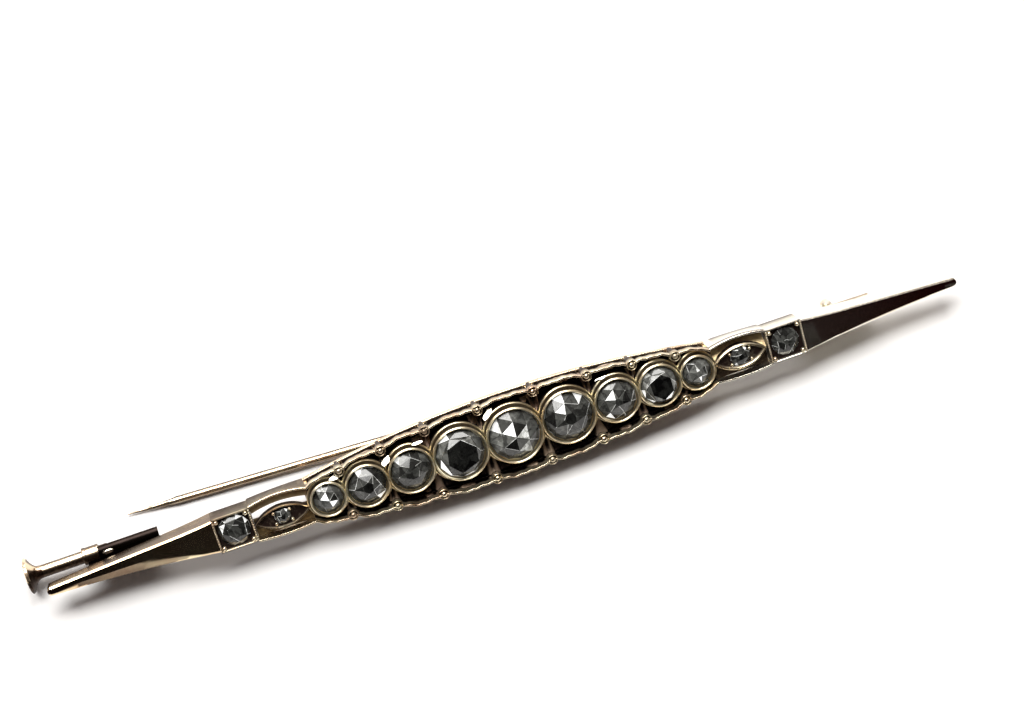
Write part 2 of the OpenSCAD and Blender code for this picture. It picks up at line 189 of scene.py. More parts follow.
world = bpy.context.scene.world or bpy.data.worlds.new("world")
bpy.context.scene.world = world
background, add, calculate = graph(world)
print("the world ends in its", background.name)

# %% Floor
PAPER_HALF = 2.0
mesh = bpy.data.meshes.new("floor")
corners = PAPER_HALF * np.array([[-1, -1, 0], [1, -1, 0], [1, 1, 0], [-1, 1, 0]])
mesh.from_pydata(corners.tolist(), [], [(0, 1, 2, 3)])
paper = bpy.data.materials.new("floor")
fill(graph(paper)[0], Base_Color=(0.96, 0.955, 0.95, 1), Roughness=0.8, Specular_IOR_Level=0.1)
mesh.materials.append(paper)
sheet = bpy.data.objects.new("floor", mesh)
bpy.context.scene.collection.objects.link(sheet)
print("floor:", 2 * PAPER_HALF, "m wide")

# %% Window lights
def window(name, stands_at, size, power, colour):
    """A rectangular light of so many millimetres and watts that looks at the middle of the bar."""
    lamp = bpy.data.lights.new(name, "AREA")
    lamp.shape, lamp.size, lamp.size_y = "RECTANGLE", size[0] / 1000, size[1] / 1000
    lamp.energy, lamp.color = power, colour
    holder = bpy.data.objects.new(name, lamp)
    holder.location = Vector(stands_at) / 1000
    holder.rotation_mode = "QUATERNION"
    holder.rotation_quaternion = (-holder.location).to_track_quat("-Z", "Y")
    bpy.context.scene.collection.objects.link(holder)


window("window", (-40, 190, 430), (420, 230), 3.1, (1.0, 0.99, 0.97))
window("window_low", (60, 420, 250), (420, 60), 0.75, (1.0, 0.97, 0.93))
bpy.context.scene.view_settings.view_transform = "Standard"

# %% The room, darker towards -y and lighter towards +y
ROOM_TINT = np.array([1.0, 0.84, 0.80])
# share of the way from -y to +y, and how light the room is there
ROOM = [(0.12, 0.012), (0.8, 0.24), (0.95, 0.5)]
direction = add("SeparateXYZ", "Y", Vector=add("TexCoord", "Generated"))
share = add("MapRange", "Result", Value=direction, From_Min=-1.0)
wall = ramp(add, share, [(position, light * ROOM_TINT) for position, light in ROOM])
fill(background, Color=wall, Strength=1.0)
print("the room has", len(ROOM), "tones")

# %% [markdown]
# ## Turning arrays of points into closed pieces
#
# Nearly every piece is a net of points: rows along a path or round an axis, and columns along a profile.
# One function finds the faces of such a net, another rounds the corners of a profile as polishing does, and
# `piece` makes the mesh, smooths it except at real edges, puts it under its body and hides the CAD nodes that
# it takes the place of.

# %% Nets and rounded profiles
def net(points, round_rows=False):
    """Points (rows, columns, 3) to (points, faces): a quad between each four neighbours. Columns run in a
    ring, and so do rows if round_rows is set; open rows get end caps."""
    rows, columns = points.shape[:2]
    r = np.arange(rows if round_rows else rows - 1)[:, None]
    c = np.arange(columns)[None, :]
    r1, c1 = (r + 1) % rows, (c + 1) % columns
    corners = (r * columns + c, r * columns + c1, r1 * columns + c1, r1 * columns + c)
    faces = np.stack(np.broadcast_arrays(*corners), -1).reshape(-1, 4).tolist()
    if not round_rows:
        faces += [list(range(columns))[::-1], list(range((rows - 1) * columns, rows * columns))]
    return points.reshape(-1, 3), faces


def joined(nets):
    """Several (points, faces) as one."""
    points, faces, start = [], [], 0
    for p, f in nets:
        faces += [[i + start for i in face] for face in f]
        points.append(p)
        start += len(p)
    return np.concatenate(points), faces


def rounded(corners, radius, steps=3):
    """A closed profile, each corner a small quadratic curve: (1-t)^2 a + 2t(1-t) corner + t^2 b."""
    corners = np.asarray(corners, float)
    before, after = np.roll(corners, 1, 0) - corners, np.roll(corners, -1, 0) - corners
    reach = lambda v: v * np.minimum(radius / np.linalg.norm(v, axis=1), 0.45)[:, None]
    a, b = corners + reach(before), corners + reach(after)
    t = np.linspace(0, 1, steps + 1)[None, :, None]
    curve = (1 - t) ** 2 * a[:, None] + 2 * t * (1 - t) * corners[:, None] + t ** 2 * b[:, None]
    return curve.reshape(-1, corners.shape[1])


def rectangle(half, low, high, radius):
    """A rounded rectangular profile from -half to half and from low to high."""
    return rounded([[-half, low], [half, low], [half, high], [-half, high]], radius)


print("a rectangle with round corners has", len(rectangle(1, 0, 1, 0.1)), "points")

# %% Pieces
EDGE_WEAR = 0.000014
# painted brightness for the small faces made by wearing the stones' edges
EDGE_FACET_BRIGHTNESS = (0.12, 0.2, 0.3, 0.4, 0.5, 0.85)
SAME_POINT, SAME_CORNER = 1e-7, 1e-6


def piece(name, points, faces, material, grime=None, body="bar", nodes=(), slot="gold", sharp=38,
          facets=None):
    """A mesh object from bench points. Its darkening, old polish together with painted shade, is a value from
    0 to 1, or gives one at each point, kept as an attribute. facets gives each face a painted brightness:
    then the edges are worn a little, and their new faces get painted brightness at random, many of them
    bright."""
    mesh = bpy.data.meshes.new(name)
    mesh.from_pydata(lay(points).tolist(), [], faces)
    shape = bmesh.new()
    shape.from_mesh(mesh)
    if facets is not None:
        layer = shape.faces.layers.float.new("facet")
        for face, value in zip(list(shape.faces), facets):
            face[layer] = value
        bmesh.ops.remove_doubles(shape, verts=shape.verts, dist=SAME_CORNER)
        worn = bmesh.ops.bevel(shape, geom=shape.edges, offset=EDGE_WEAR, segments=1, affect="EDGES",
                               clamp_overlap=True)
        for face in worn["faces"]:
            face[layer] = random.choice(EDGE_FACET_BRIGHTNESS)
    bmesh.ops.remove_doubles(shape, verts=shape.verts, dist=SAME_POINT)
    bmesh.ops.dissolve_degenerate(shape, edges=shape.edges, dist=SAME_POINT)
    bmesh.ops.recalc_face_normals(shape, faces=shape.faces)
    shape.to_mesh(mesh)
    shape.free()
    if sharp:
        mesh.shade_smooth()
        mesh.set_sharp_from_angle(angle=math.radians(sharp))
    mesh.materials.append(material)
    made = bpy.data.objects.new(name, mesh)
    bpy.context.scene.collection.objects.link(made)
    if grime is not None:
        flat = on_bench([v.co for v in mesh.vertices])
        values = np.clip(grime(flat) if callable(grime) else np.full(len(flat), grime), 0, 1)
        attribute = mesh.attributes.new("grime", "FLOAT", "POINT")
        attribute.data.foreach_set("value", values.astype(np.float32))
    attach(made, body)
    if nodes:
        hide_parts(*nodes)
    print(name, len(mesh.polygons), "faces")


# %% Where dark polish and painted shade lie
def depth_shade(low, high, least=0.0, most=1.0):
    """Darkening that grows from least at height high to most at height low: painted shade down in hollows and
    below top edges, with the old polish that sits there.
    """
    return lambda p: least + (most - least) * np.clip((high - p[:, 2]) / (high - low), 0, 1)


def picture_side_shade(start, end, stops):
    """Painted light and shade round a tube or a wire, by how high a point of its skin stands in the picture:
    stops are (height, darkening), and height goes from -1, lowest, to 1, highest."""
    start, end = np.asarray(start, float), np.asarray(end, float)
    way = (end - start) / np.linalg.norm(end - start)
    picture_up = np.array([0, 0.958, -0.284])
    picture_up = picture_up - way * (picture_up @ way)

    def values(p):
        out = p - start
        out = out - (out @ way)[:, None] * way
        length = np.maximum(np.linalg.norm(out, axis=1), 1e-6)
        return np.interp(out @ picture_up / length, *np.array(stops, float).T)

    return values


print("grime halfway down:", depth_shade(1.0, 2.0)(np.array([[0, 0, 1.5]])))

# %% [markdown]
# ## Old gold
#
# Gold has no colour of its own but tints what it mirrors, so the material is a metal with a warm base colour.
# What makes it old is uneven: rubbed parts are pale and smooth, hollows hold dark polish and skin oil, and
# the whole skin has fine dents. One attribute per point paints that dark polish together with shade: darker
# in hollows and under edges, on the lower sides of tubes and wires, and on whole walls that lie in shade.
# Noise breaks its border up, and both drive the colour, the roughness and the bump.

# %% One recipe for worn gold
BUMP_HEIGHT = 0.00002
DRAWN_SCRATCHES = (700, 5200, 5200)  # long along the bar


def old_gold(name, pale, warm, dark, shine=0.2, bump=0.25, spots=0.7, dull=0.5, metal=0.7):
    """Worn gold: pale where worn smooth, warm in patches, dark and rough where old polish sits and where
    shade is painted.
    """
    material = bpy.data.materials.new(name)
    shader, add, calculate = graph(material)
    where = add("TexCoord", "Object")
    patches = add("TexNoise", "Fac", Vector=where, Scale=420, Detail=4, Roughness=0.6)
    specks = add("TexNoise", "Fac", Vector=where, Scale=3100, Detail=5, Roughness=0.65)
    stretched = add("Mapping", "Vector", Vector=where, Scale=DRAWN_SCRATCHES)
    scratches = add("TexNoise", "Fac", Vector=stretched, Scale=1, Detail=3)
    grime = add("Attribute", "Fac", {"attribute_name": "grime"})
    border = calculate("MULTIPLY_ADD", specks, spots, -spots / 2)
    darkening = calculate("ADD", grime, border, clamp=True)
    darkening = calculate("MULTIPLY", darkening, grime, clamp=True)
    clean = ramp(add, patches, [(0.36, warm), (0.6, pale)])
    rough = add("MapRange", "Result", Value=darkening, To_Min=shine, To_Max=dull)
    relief = calculate("MULTIPLY_ADD", scratches, 0.5, specks)
    fill(shader, Base_Color=add("Mix", 2, {"data_type": "RGBA"}, i0=darkening, i6=clean, i7=(*dark, 1)),
         Roughness=calculate("MULTIPLY_ADD", specks, 0.16, rough),
         Metallic=add("MapRange", "Result", Value=darkening, To_Min=1.0, To_Max=metal),
         Normal=add("Bump", "Normal", Height=relief, Strength=bump, Distance=BUMP_HEIGHT))
    return material


# %% The golds of this brooch
YELLOW, TAN = (0.95, 0.84, 0.60), (0.72, 0.52, 0.35)
CREAM, BUTTER = (0.98, 0.94, 0.82), (0.95, 0.88, 0.72)
# the dark colour where old polish sits and where shade is painted
POLISH_AND_SHADE = (0.03, 0.016, 0.012)

gold = old_gold("old_gold", YELLOW, TAN, POLISH_AND_SHADE, shine=0.15)
soft_gold = old_gold("soft_gold", YELLOW, TAN, (0.03, 0.018, 0.014), shine=0.15, spots=0.2)
mirror_gold = old_gold("mirror_gold", (0.94, 0.80, 0.52), (0.80, 0.58, 0.36), (0.04, 0.018, 0.015),
                       shine=0.08, bump=0.08, spots=0.1, dull=0.16, metal=0.97)
pin_gold = old_gold("pin_gold", (0.95, 0.80, 0.58), (0.82, 0.62, 0.42), (0.03, 0.015, 0.009),
                    shine=0.14, bump=0.15, spots=0.3, dull=0.26, metal=0.97)
# a paler copy of the gold for parts that show brightly lit: painted highlight
lit_gold = old_gold("lit_gold", CREAM, BUTTER, (0.03, 0.016, 0.013), shine=0.12, bump=0.08, spots=0.3,
                     dull=0.45)
# the right point: cream where its walls and edges are left clean, so they show white as if lit, and a maroon
# dark colour for the painted shade on its face
maroon_gold = old_gold("maroon_gold", CREAM, BUTTER, (0.075, 0.014, 0.011), shine=0.12, bump=0.05,
                       spots=0.1, dull=0.14, metal=0.9)
# the collet rims: its paler colour is a painted highlight that keeps them bright all round, and its rougher
# skin spreads the window's light
rim_gold = old_gold("rim_gold", (0.98, 0.90, 0.66), (0.86, 0.71, 0.46), POLISH_AND_SHADE, shine=0.26, spots=0.4)
olive_gold = old_gold("olive_gold", (0.84, 0.66, 0.38), (0.62, 0.44, 0.24), (0.03, 0.018, 0.010),
                      shine=0.40)
leaf_gold = old_gold("leaf_gold", (0.84, 0.66, 0.48), (0.64, 0.44, 0.33), (0.02, 0.012, 0.01), shine=0.38)
# near black: painted shade, for the dark inner walls and the inside of the catch's channel
shade_gold = old_gold("shade_gold", (0.04, 0.028, 0.024), (0.02, 0.013, 0.011), (0.01, 0.007, 0.006),
                     shine=0.06, bump=0.1, spots=0.2, dull=0.2, metal=0.97)
print("materials:", [material.name for material in bpy.data.materials])

# %% [markdown]
# ## Collets
#
# Each stone sits in a collet, a short tube of sheet gold with a lower band, a thinner neck and a thin rim
# that is rubbed over the stone. A lathe form suits it: one closed profile, turned round the stone's axis.
# Old ones aren't quite round, so the radius gets two slow waves that differ from collet to collet.

# %% The lathe
ON_AXIS = 0.0001


def lathe(profile, steps, centre=(0, 0, 0), wave=0.0, start=0.0):
    """A closed (radius, height) profile turned round z; wave makes the radius uneven by that share."""
    angle = np.arange(steps) * TAU / steps
    uneven = 1 + wave * (np.sin(2 * angle + start) + 0.6 * np.sin(5 * angle + 3 * start))
    radius = profile[None, :, 0] * uneven[:, None]
    points = np.stack([radius * np.cos(angle)[:, None], radius * np.sin(angle)[:, None],
                       np.broadcast_to(profile[None, :, 1], radius.shape)], -1)
    return net(points + np.asarray(centre), round_rows=True)


def dome(radius, low_to_high, steps, height=0.0):
    """Half an ellipse as a lathe profile for a bead: radius across and low_to_high along the axis."""
    turned = np.linspace(-math.pi / 2, math.pi / 2, steps)
    profile = np.column_stack([radius * np.cos(turned), height + low_to_high * np.sin(turned)])
    profile[[0, -1], 0] = ON_AXIS
    return profile


print("a bead's profile has", len(dome(1, 1, 15)), "points")

# %% Nine collets
random.seed(11)
BEZEL = 0.2
BAND_TOP = 2.0
BAND_STRETCH = {"upper": 0.05, "lower": -0.07}
RIM_WAVE = 0.02


def collet_shade(p):
    """Painted shade: clean on the rim and on the lower band, black in the neck between them and inside round
    the stone.
    """
    return np.interp(p[:, 2], [1.74, 1.8, 1.92, 1.94, 2.1, 2.17], [0.97, 0.1, 0.05, 0.97, 0.97, 0.03])


for number, radius, x in ROW:
    bore, top = radius - BEZEL, BAR_HEIGHT
    profile = rounded([
        [bore - 0.3, 0.8], [radius + 0.1, 0.8], [radius + 0.2, 1.72], [radius + 0.2, 1.83],
        [radius + 0.11, 1.92], [radius + 0.05, 1.76], [radius - 0.12, 1.72], [radius - 0.12, top - 0.33],
        [radius - 0.02, top - 0.28], [radius, top - 0.12], [radius - 0.1, top - 0.02],
        [radius - 0.13, top - 0.02], [bore, top - 0.1], [bore, top - 0.2], [bore, 1.8], [bore - 0.3, 1.8],
    ], 0.03)
    points, faces = lathe(profile, 96, (x, 0, 0), 0.005, random.uniform(0, TAU))
    out = np.hypot(points[:, 0] - x, points[:, 1])
    band = (out > radius + 0.01) & (points[:, 2] < BAND_TOP)
    stretch = np.where(points[:, 1] > 0, BAND_STRETCH["upper"], BAND_STRETCH["lower"])
    points[:, 1] *= 1 + band * stretch * np.abs(points[:, 1] / out)
    angle = np.arctan2(points[:, 1], points[:, 0] - x)
    points[:, 2] += RIM_WAVE * np.sin(2 * angle + number) * (points[:, 2] > BAND_TOP)
    nodes = ["gallery_mount"] if number == 5 else ()
    piece(f"collet_{number}", points, faces, rim_gold, collet_shade, nodes=nodes)

# %% [markdown]
# ## The scalloped wire, its cups and its beads
#
# A strip of gold runs along each edge, bowed out beside each stone, and where two bows meet there is a
# small cup with a bead in it, like a dot in a ring. The strip is swept: a rounded profile is carried along
# the arcs, square to their direction at every step. The cups and beads are lathe forms, made at all the
# joints at once.

# %% Sweeping a profile along a path
def sweep(path, profile):
    """Carries a closed (across, height) profile along a level path of (x, y, z) points, square to it."""
    ahead = np.gradient(path, axis=0)
    side = np.stack([-ahead[:, 1], ahead[:, 0], np.zeros(len(path))], 1)
    side /= np.linalg.norm(side, axis=1)[:, None]
    return net(path[:, None] + side[:, None] * profile[None, :, :1] + [0, 0, 1] * profile[None, :, 1:])


def bowed(start, end, bow, steps=28):
    """Points on the shallow arc from start to end, bowed to the left of the way there by bow."""
    start, end = np.asarray(start, float), np.asarray(end, float)
    t = np.linspace(0, 1, steps)[:, None]
    way = end - start
    left = np.array([-way[1], way[0]]) / np.linalg.norm(way)
    flat = start + way * t + left * bow * 4 * t * (1 - t)
    return np.column_stack([flat, np.zeros(steps)])


def straight(start, end, steps=9):
    """Points on the line from start to end."""
    return np.column_stack([np.linspace(start, end, steps), np.zeros(steps)])


print("half a millimetre of bow:", bowed((0, 0), (4, 0), 0.5, 3)[1])

# %% Two scalloped wires
SCALLOP_BOW, RAIL_LOW, RAIL_TOP = {"upper": 0.27, "lower": 0.30}, 1.62, 2.2
WIRE_END_Y = BACK_END_W - 0.22
corners = [(-joint[k], bead_y[k]) for k in (3, 2, 1, 0)] + [(joint[k], bead_y[k]) for k in range(4)]
ends = [(-PIERCED_X, WIRE_END_Y)] + corners + [(PIERCED_X, WIRE_END_Y)]
strip = rounded([[-0.12, RAIL_LOW], [0.12, RAIL_LOW], [0.1, RAIL_TOP], [-0.04, RAIL_TOP]], 0.05)
for edge, sign in EDGES:
    nets = []
    for k in range(len(ends) - 1):
        path = bowed(ends[k], ends[k + 1], SCALLOP_BOW[edge] * (0.9 + 0.2 * random.random()), 40)
        path[:, 1] += 0.035 * np.sin(3.1 * path[:, 0] + k) + 0.025 * np.sin(7.7 * path[:, 0] + 2 * k)
        path[:, 1] *= sign
        nets.append(sweep(path, strip * [sign, 1]))
    # painted shade: the wire darkens down its sides below its top
    piece(f"scalloped_wire_{edge}", *joined(nets), gold, depth_shade(1.9, 2.2, 0.03, 0.97))

# %% Cups and beads
CUP_LIFT, CUP_UNEVEN = 0.03, 0.02
# how dark each cup is painted, from left to right
CUP_DARKNESS = {"upper": [0.5, 0.35, 0.75, 0.0, 0.1, 0.4, 0.3, 0.6],
             "lower": [0.5, 0.3, 0.0, 0.0, 0.5, 0.2, 0.4, 0.1]}
cup = rounded([[ON_AXIS, 1.9], [ON_AXIS, 0.3], [0.2, 0.3], [0.3, 1.4], [0.42, 1.62], [0.43, 2.12],
               [0.38, 2.24], [0.33, 2.22], [0.31, 1.98]], 0.04)
bead = dome(0.23, 0.2, 15, 2.13)
for edge, sign in EDGES:
    nets = []
    for x, y in corners:
        uneven = random.uniform(0, TAU)
        nets.append(lathe(cup, 32, (x, sign * y, 0), CUP_UNEVEN, uneven))
        nets.append(lathe(bead, 28, (x, sign * y, CUP_LIFT * random.random()), CUP_UNEVEN, uneven))
    middles, level = np.array(corners)[:, 0], np.array(CUP_DARKNESS[edge])
    # painted shade: each cup darkens down into its hollow, unless its own darkness is more
    hollow = depth_shade(2.02, 2.2, 0.02, 1.0)
    piece(f"cups_and_beads_{edge}", *joined(nets), gold,
          lambda p: np.maximum(hollow(p), level[np.abs(p[:, :1] - middles).argmin(1)]))

# %% [markdown]
# ## The back rim and the posts
#
# Behind the scalloped wire runs a flat rim, shaped like a boat, which gives the open setting its strength.
# Posts stand on it under the cups, and between them the side is open. The dark windows along the edge are
# painted shade on the rim, black inside it wherever no post stands. The rim is two long arcs and two short
# bars across the ends, each swept with a flat profile.

# %% Back rim
RIM_HALF, BAR_REACH = 0.225, 1.36
RIM_INSIDE, POST_SHADOW, ROW_END = 0.09, (0.35, 0.45), 15.5
strip = rounded([[-RIM_HALF, 0.0], [RIM_HALF, 0.0], [RIM_HALF, 0.42], [0.12, 0.45], [-0.18, 0.45]], 0.04)


def arc(start, end, inset, steps):
    """A path along the back rim's arc from x = start to end, further in by inset."""
    x = np.linspace(start, end, steps)
    return np.column_stack([x, rim_y(x) - inset, np.zeros(steps)])


middle_line = arc(-PIERCED_X, PIERCED_X, RIM_HALF, 361)
nets = [sweep(middle_line * [1, sign, 1], strip * [sign, 1]) for sign in (1, -1)]
for sign in (1, -1):
    across = straight((sign * PIERCED_X, -BAR_REACH), (sign * PIERCED_X, BAR_REACH))
    nets.append(sweep(across, rectangle(0.2, 0.0, 1.25, 0.06)))


def rim_shade(p):
    """Painted shade: a clean outer edge, and black inside it wherever no post stands, for the dark windows
    seen from above.
    """
    from_post = np.abs(p[:, :1] - [x for x, _ in corners]).min(1)
    inside = (np.abs(p[:, 1]) < rim_y(p[:, 0]) - RIM_INSIDE) & (np.abs(p[:, 0]) < ROW_END)
    near, far = POST_SHADOW
    return 0.05 + 0.95 * inside * np.clip((from_post - near) / (far - near), 0, 1)


piece("back_rim", *joined(nets), gold, rim_shade)

# %% [markdown]
# ## Open sides
#
# Looked at from the side, the posts stand in front of darkness. A thin near-black wall inside the posts
# stands in for the shade in there: painted shade. Each post is a short stretch of the same arc as the rim,
# and no two are equally wide, as they were cut by hand.

# %% Posts in front of a dark inner wall
WALL_IN, POST_IN = 0.36, 0.2
half_posts = [0.24, 0.2, 0.26, 0.22, 0.3, 0.2, 0.24, 0.26]
post = rounded([[-0.09, 0.35], [0.09, 0.35], [0.06, 1.75], [-0.06, 1.75]], 0.03)
for edge, sign in EDGES:
    behind = arc(-PIERCED_X, PIERCED_X, WALL_IN, 121) * [1, sign, 1]
    # a near-black sheet put where there is only shade: painted shade
    piece(f"inner_wall_{edge}", *sweep(behind, rectangle(0.05, 0.3, 1.7, 0.02)), shade_gold, 1.0)
    nets = [sweep(arc(x - half, x + half, POST_IN, 7) * [1, sign, 1], post)
            for (x, _), half in zip(corners, half_posts)]
    # painted shade: the posts darken towards their feet
    piece(f"posts_{edge}", *joined(nets), gold, depth_shade(0.8, 1.7, 0.15, 0.5))

# %% [markdown]
# ## The pierced plate under the row
#
# Between the collets and the scalloped wire the eye meets dark metal with only small holes: a thin plate, cut
# into leaves, which ties each collet to the cups beside it. Its darkness is painted shade, black between the
# leaves and clean on their ridges. It is a strip whose inner edge follows the collets and whose outer edge
# follows the wire. Each leaf is a ridge across it, at every joint of two collets.

# %% The plate's two edges
def outer_edge(x, bow):
    """Half width of the gallery inside the scalloped wire: the line from cup to cup, with the bows added."""
    knots = np.array(ends)
    k = np.clip(np.searchsorted(knots[:, 0], x) - 1, 0, len(ends) - 2)
    a, b = knots[k], knots[k + 1]
    t = np.clip((x - a[:, 0]) / (b[:, 0] - a[:, 0]), 0, 1)
    return a[:, 1] + (b[:, 1] - a[:, 1]) * t + bow * 4 * t * (1 - t)


def inner_edge(x):
    """Half width of the row of collets at x, a little inside their walls: sqrt(r^2 - (x - middle)^2)."""
    _, size, middles = np.array(ROW).T
    return np.sqrt(np.maximum((size - 0.18) ** 2 - (x[:, None] - middles) ** 2, 0)).max(1)


print("plate at the first joint:", (outer_edge(joint[:1], 0) - inner_edge(joint[:1])).round(2), "mm wide")

# %% Webs at the joints, and leaves above and below the stones
# height of the webs and of the leaves
LEAF_HEIGHT = {"upper": (0.72, 1.0), "lower": (0.5, 0.45)}
# middle, half length and share of the way from collet to wire
LEAVES = {
    "upper": [(-place[4] + 0.1, 0.5, 0.7), (-place[3] + 0.4, 0.6, 0.7), (-place[2] + 0.9, 0.5, 0.6),
              (-place[1] + 1.5, 0.4, 0.6), (1.3, 0.35, 0.6), (place[1] + 0.2, 0.9, 0.8),
              (place[2] - 0.1, 0.8, 0.75), (place[3], 0.7, 0.75), (place[4], 0.5, 0.7)],
    "lower": [(-place[2] + 0.6, 0.4, 0.8), (-place[1] - 0.3, 0.8, 0.85), (0.5, 0.6, 0.9),
              (place[2], 0.6, 0.85), (place[3] + 0.2, 0.5, 0.8)],
}
share = np.linspace(0, 1, 13)


def ridges(x, edge):
    """How far the plate is raised, from 0 to 1, over a grid of x and of share: the highest of all its webs
    and leaves. A web is a band across the plate, often with a hole; a leaf is a low mound."""
    web_height, leaf_height = LEAF_HEIGHT[edge]
    raised = np.zeros((len(x), len(share)))
    for middle in (*-joint[:4], *joint[:4]):
        wide = random.uniform(0.16, 0.36) + random.uniform(0.2, 0.6) * share ** 1.3
        off = np.abs(x[:, None] - middle - random.uniform(-0.12, 0.12) * share)
        web = np.clip((wide - off) / 0.12, 0, 1)
        hole = np.exp(-((off / 0.13) ** 2)) * np.exp(-(((share - 0.62) / 0.2) ** 2))
        hole = hole * random.choice((0, 1, 1))
        raised = np.maximum(raised, web_height * web * (1 - hole))
    for middle, half, reach in LEAVES[edge]:
        off = np.abs(x[:, None] - middle - 0.2 * share) / half
        mound = 1.6 - 1.6 * (off ** 2 + ((share - reach) / 0.42) ** 2)
        raised = np.maximum(raised, leaf_height * np.clip(mound, 0, 1))
    return raised


print("leaves above and below the row:", [len(LEAVES[edge]) for edge, _ in EDGES])

# %% The two plates
PLATE_THICK, OUTER_Z = 0.14, 1.7


def leaf_shade(x, inner, outer, raised):
    """Painted shade: clean on the ridges and black between them, and black below a height of 0.9: each point
    finds its row and column of the grid again.
    """
    def values(p):
        row = np.rint(np.interp(p[:, 0], x, np.arange(len(x)))).astype(int)
        way = (np.abs(p[:, 1]) - inner[row]) / (outer - inner)[row]
        height = raised[row, np.rint(way * (len(share) - 1)).astype(int)]
        return 1.0 - 0.95 * np.clip(height * 1.2 - 0.25, 0, 1) * (p[:, 2] > 0.9)
    return values


x = np.linspace(-PIERCED_X + 0.02, PIERCED_X - 0.02, 641)
for edge, sign in EDGES:
    inner, outer = inner_edge(x), outer_edge(x, SCALLOP_BOW[edge]) + 0.03
    out = (outer - inner)[:, None] * share
    raised = ridges(x, edge)
    ridge_z = 2.0 - 0.75 * out if edge == "upper" else np.minimum(1.5 + 0.5 * out, 1.9)
    sunk_z = 0.85 + 0.6 * share ** 2
    z = sunk_z + (ridge_z - sunk_z) * raised
    z[:, -1] = OUTER_Z
    top = np.stack([np.broadcast_to(x[:, None], z.shape), sign * (inner[:, None] + out), z], -1)
    both = np.concatenate([top, top[:, ::-1] - [0, 0, PLATE_THICK]], 1)
    piece(f"leaf_plate_{edge}", *net(both), leaf_gold, leaf_shade(x, inner, outer, raised))

# %% [markdown]
# ## Bright petals
#
# A few of the small leaves lie open to the light, and they are the brightest spots between the stones. They
# are painted highlights: each is a flat oval of the paler lit gold with no shade on it, with a thin edge,
# turned on the lathe and stretched, and then tilted back towards the window.

# %% Six petals
PETAL_Z, PETAL_TILT = 1.92, 0.8
# middle on the bench, half length, half width, and the turn in degrees
PETALS = [(-13.6, 1.42, 0.6, 0.17, 5), (-9.7, 1.34, 0.45, 0.24, 40), (-7.1, 1.86, 0.5, 0.12, 0),
          (-1.5, 2.22, 0.6, 0.19, 34), (7.4, 2.02, 0.5, 0.09, 3), (11.9, 1.52, 0.42, 0.11, -8)]
oval = rounded([[ON_AXIS, -0.05], [0.9, -0.05], [1.0, 0.0], [0.9, 0.05], [ON_AXIS, 0.05]], 0.05)
nets = []
for x, y, half_long, half_wide, turn in PETALS:
    points, faces = lathe(oval, 24, wave=0.08, start=x)
    points = turned_about(points * [half_long, half_wide, 1], "z", math.radians(turn))
    points[:, 2] -= PETAL_TILT * points[:, 1]
    nets.append((points + [x, y, PETAL_Z], faces))
piece("petals", *joined(nets), lit_gold, 0.0)

# %% [markdown]
# ## Square panels
#
# Beyond the row, each side has a pierced panel with a boat-shaped plate, and a square panel with a sunk
# stone. All of them are outlines with a rim and a sunk middle. So one function carries a profile of (inset,
# height) round an outline: the outside wall up, over the rim, down to the floor and in to the middle.

# %% Dishes, boxes and balls
def dish(outline, profile, centre):
    """Shrinks the outline (n, 2) towards its middle by each inset in turn, at each height: a closed net."""
    size = np.abs(outline).max(0)
    rings = []
    for inset, height in profile:
        shrunk = outline * np.maximum(1 - inset / size, 0.0)
        rings.append(np.column_stack([shrunk, np.full(len(outline), height)]))
    return net(np.array(rings) + np.asarray(centre))


def box_outline(half_x, half_y, corner):
    """A rectangle with round corners, anticlockwise: five points on each corner and nine on each side."""
    middles = np.array([(1, 1), (-1, 1), (-1, -1), (1, -1)]) * [half_x - corner, half_y - corner]
    angle = math.pi / 2 * (np.arange(4)[:, None] + np.linspace(0, 1, 5))
    arcs = middles[:, None] + corner * np.stack([np.cos(angle), np.sin(angle)], -1)
    last, following = arcs[:, -1:], np.roll(arcs[:, :1], -1, 0)
    along_side = last + (following - last) * np.linspace(0.1, 0.9, 9)[:, None]
    return np.concatenate([arcs, along_side], 1).reshape(-1, 2)


def balls(centres, radius, high=1.0):
    """Small domes at several places, as one list of nets."""
    profile = dome(radius, high * radius, 11)
    return [lathe(profile, 18, c, 0.03, 3 * c[0] + c[1]) for c in centres]


print("the square panel's outline has", len(box_outline(1, 1, 0.1)), "points")

# %% Two square panels
# painted shade on each end's outer walls: heavy at the left end, almost none at the right, whose walls show
# white as if brightly lit
WALL_SHADE = {"left": 0.92, "right": 0.02}
# the right end is made of the paler lit copy of the gold: painted highlight
END_GOLD = {"left": soft_gold, "right": lit_gold}
SQUARE_HALF, SQUARE_HALF_Y, SQUARE_TOP = SQUARE / 2, 1.38, 2.1
GRAIN_X, GRAIN_Y, BEAD_STEP = 1.13, 1.06, 0.2
WALL_TOP, WALL_LEAN = 1.9, 0.09
dish_profile = [(0, 0), (0, WALL_TOP), (0, 2.03), (0.03, SQUARE_TOP), (0.09, SQUARE_TOP), (0.13, 2.06),
                (0.15, 1.8), (0.18, 1.74), (0.9, 1.72), (1.37, 1.72)]


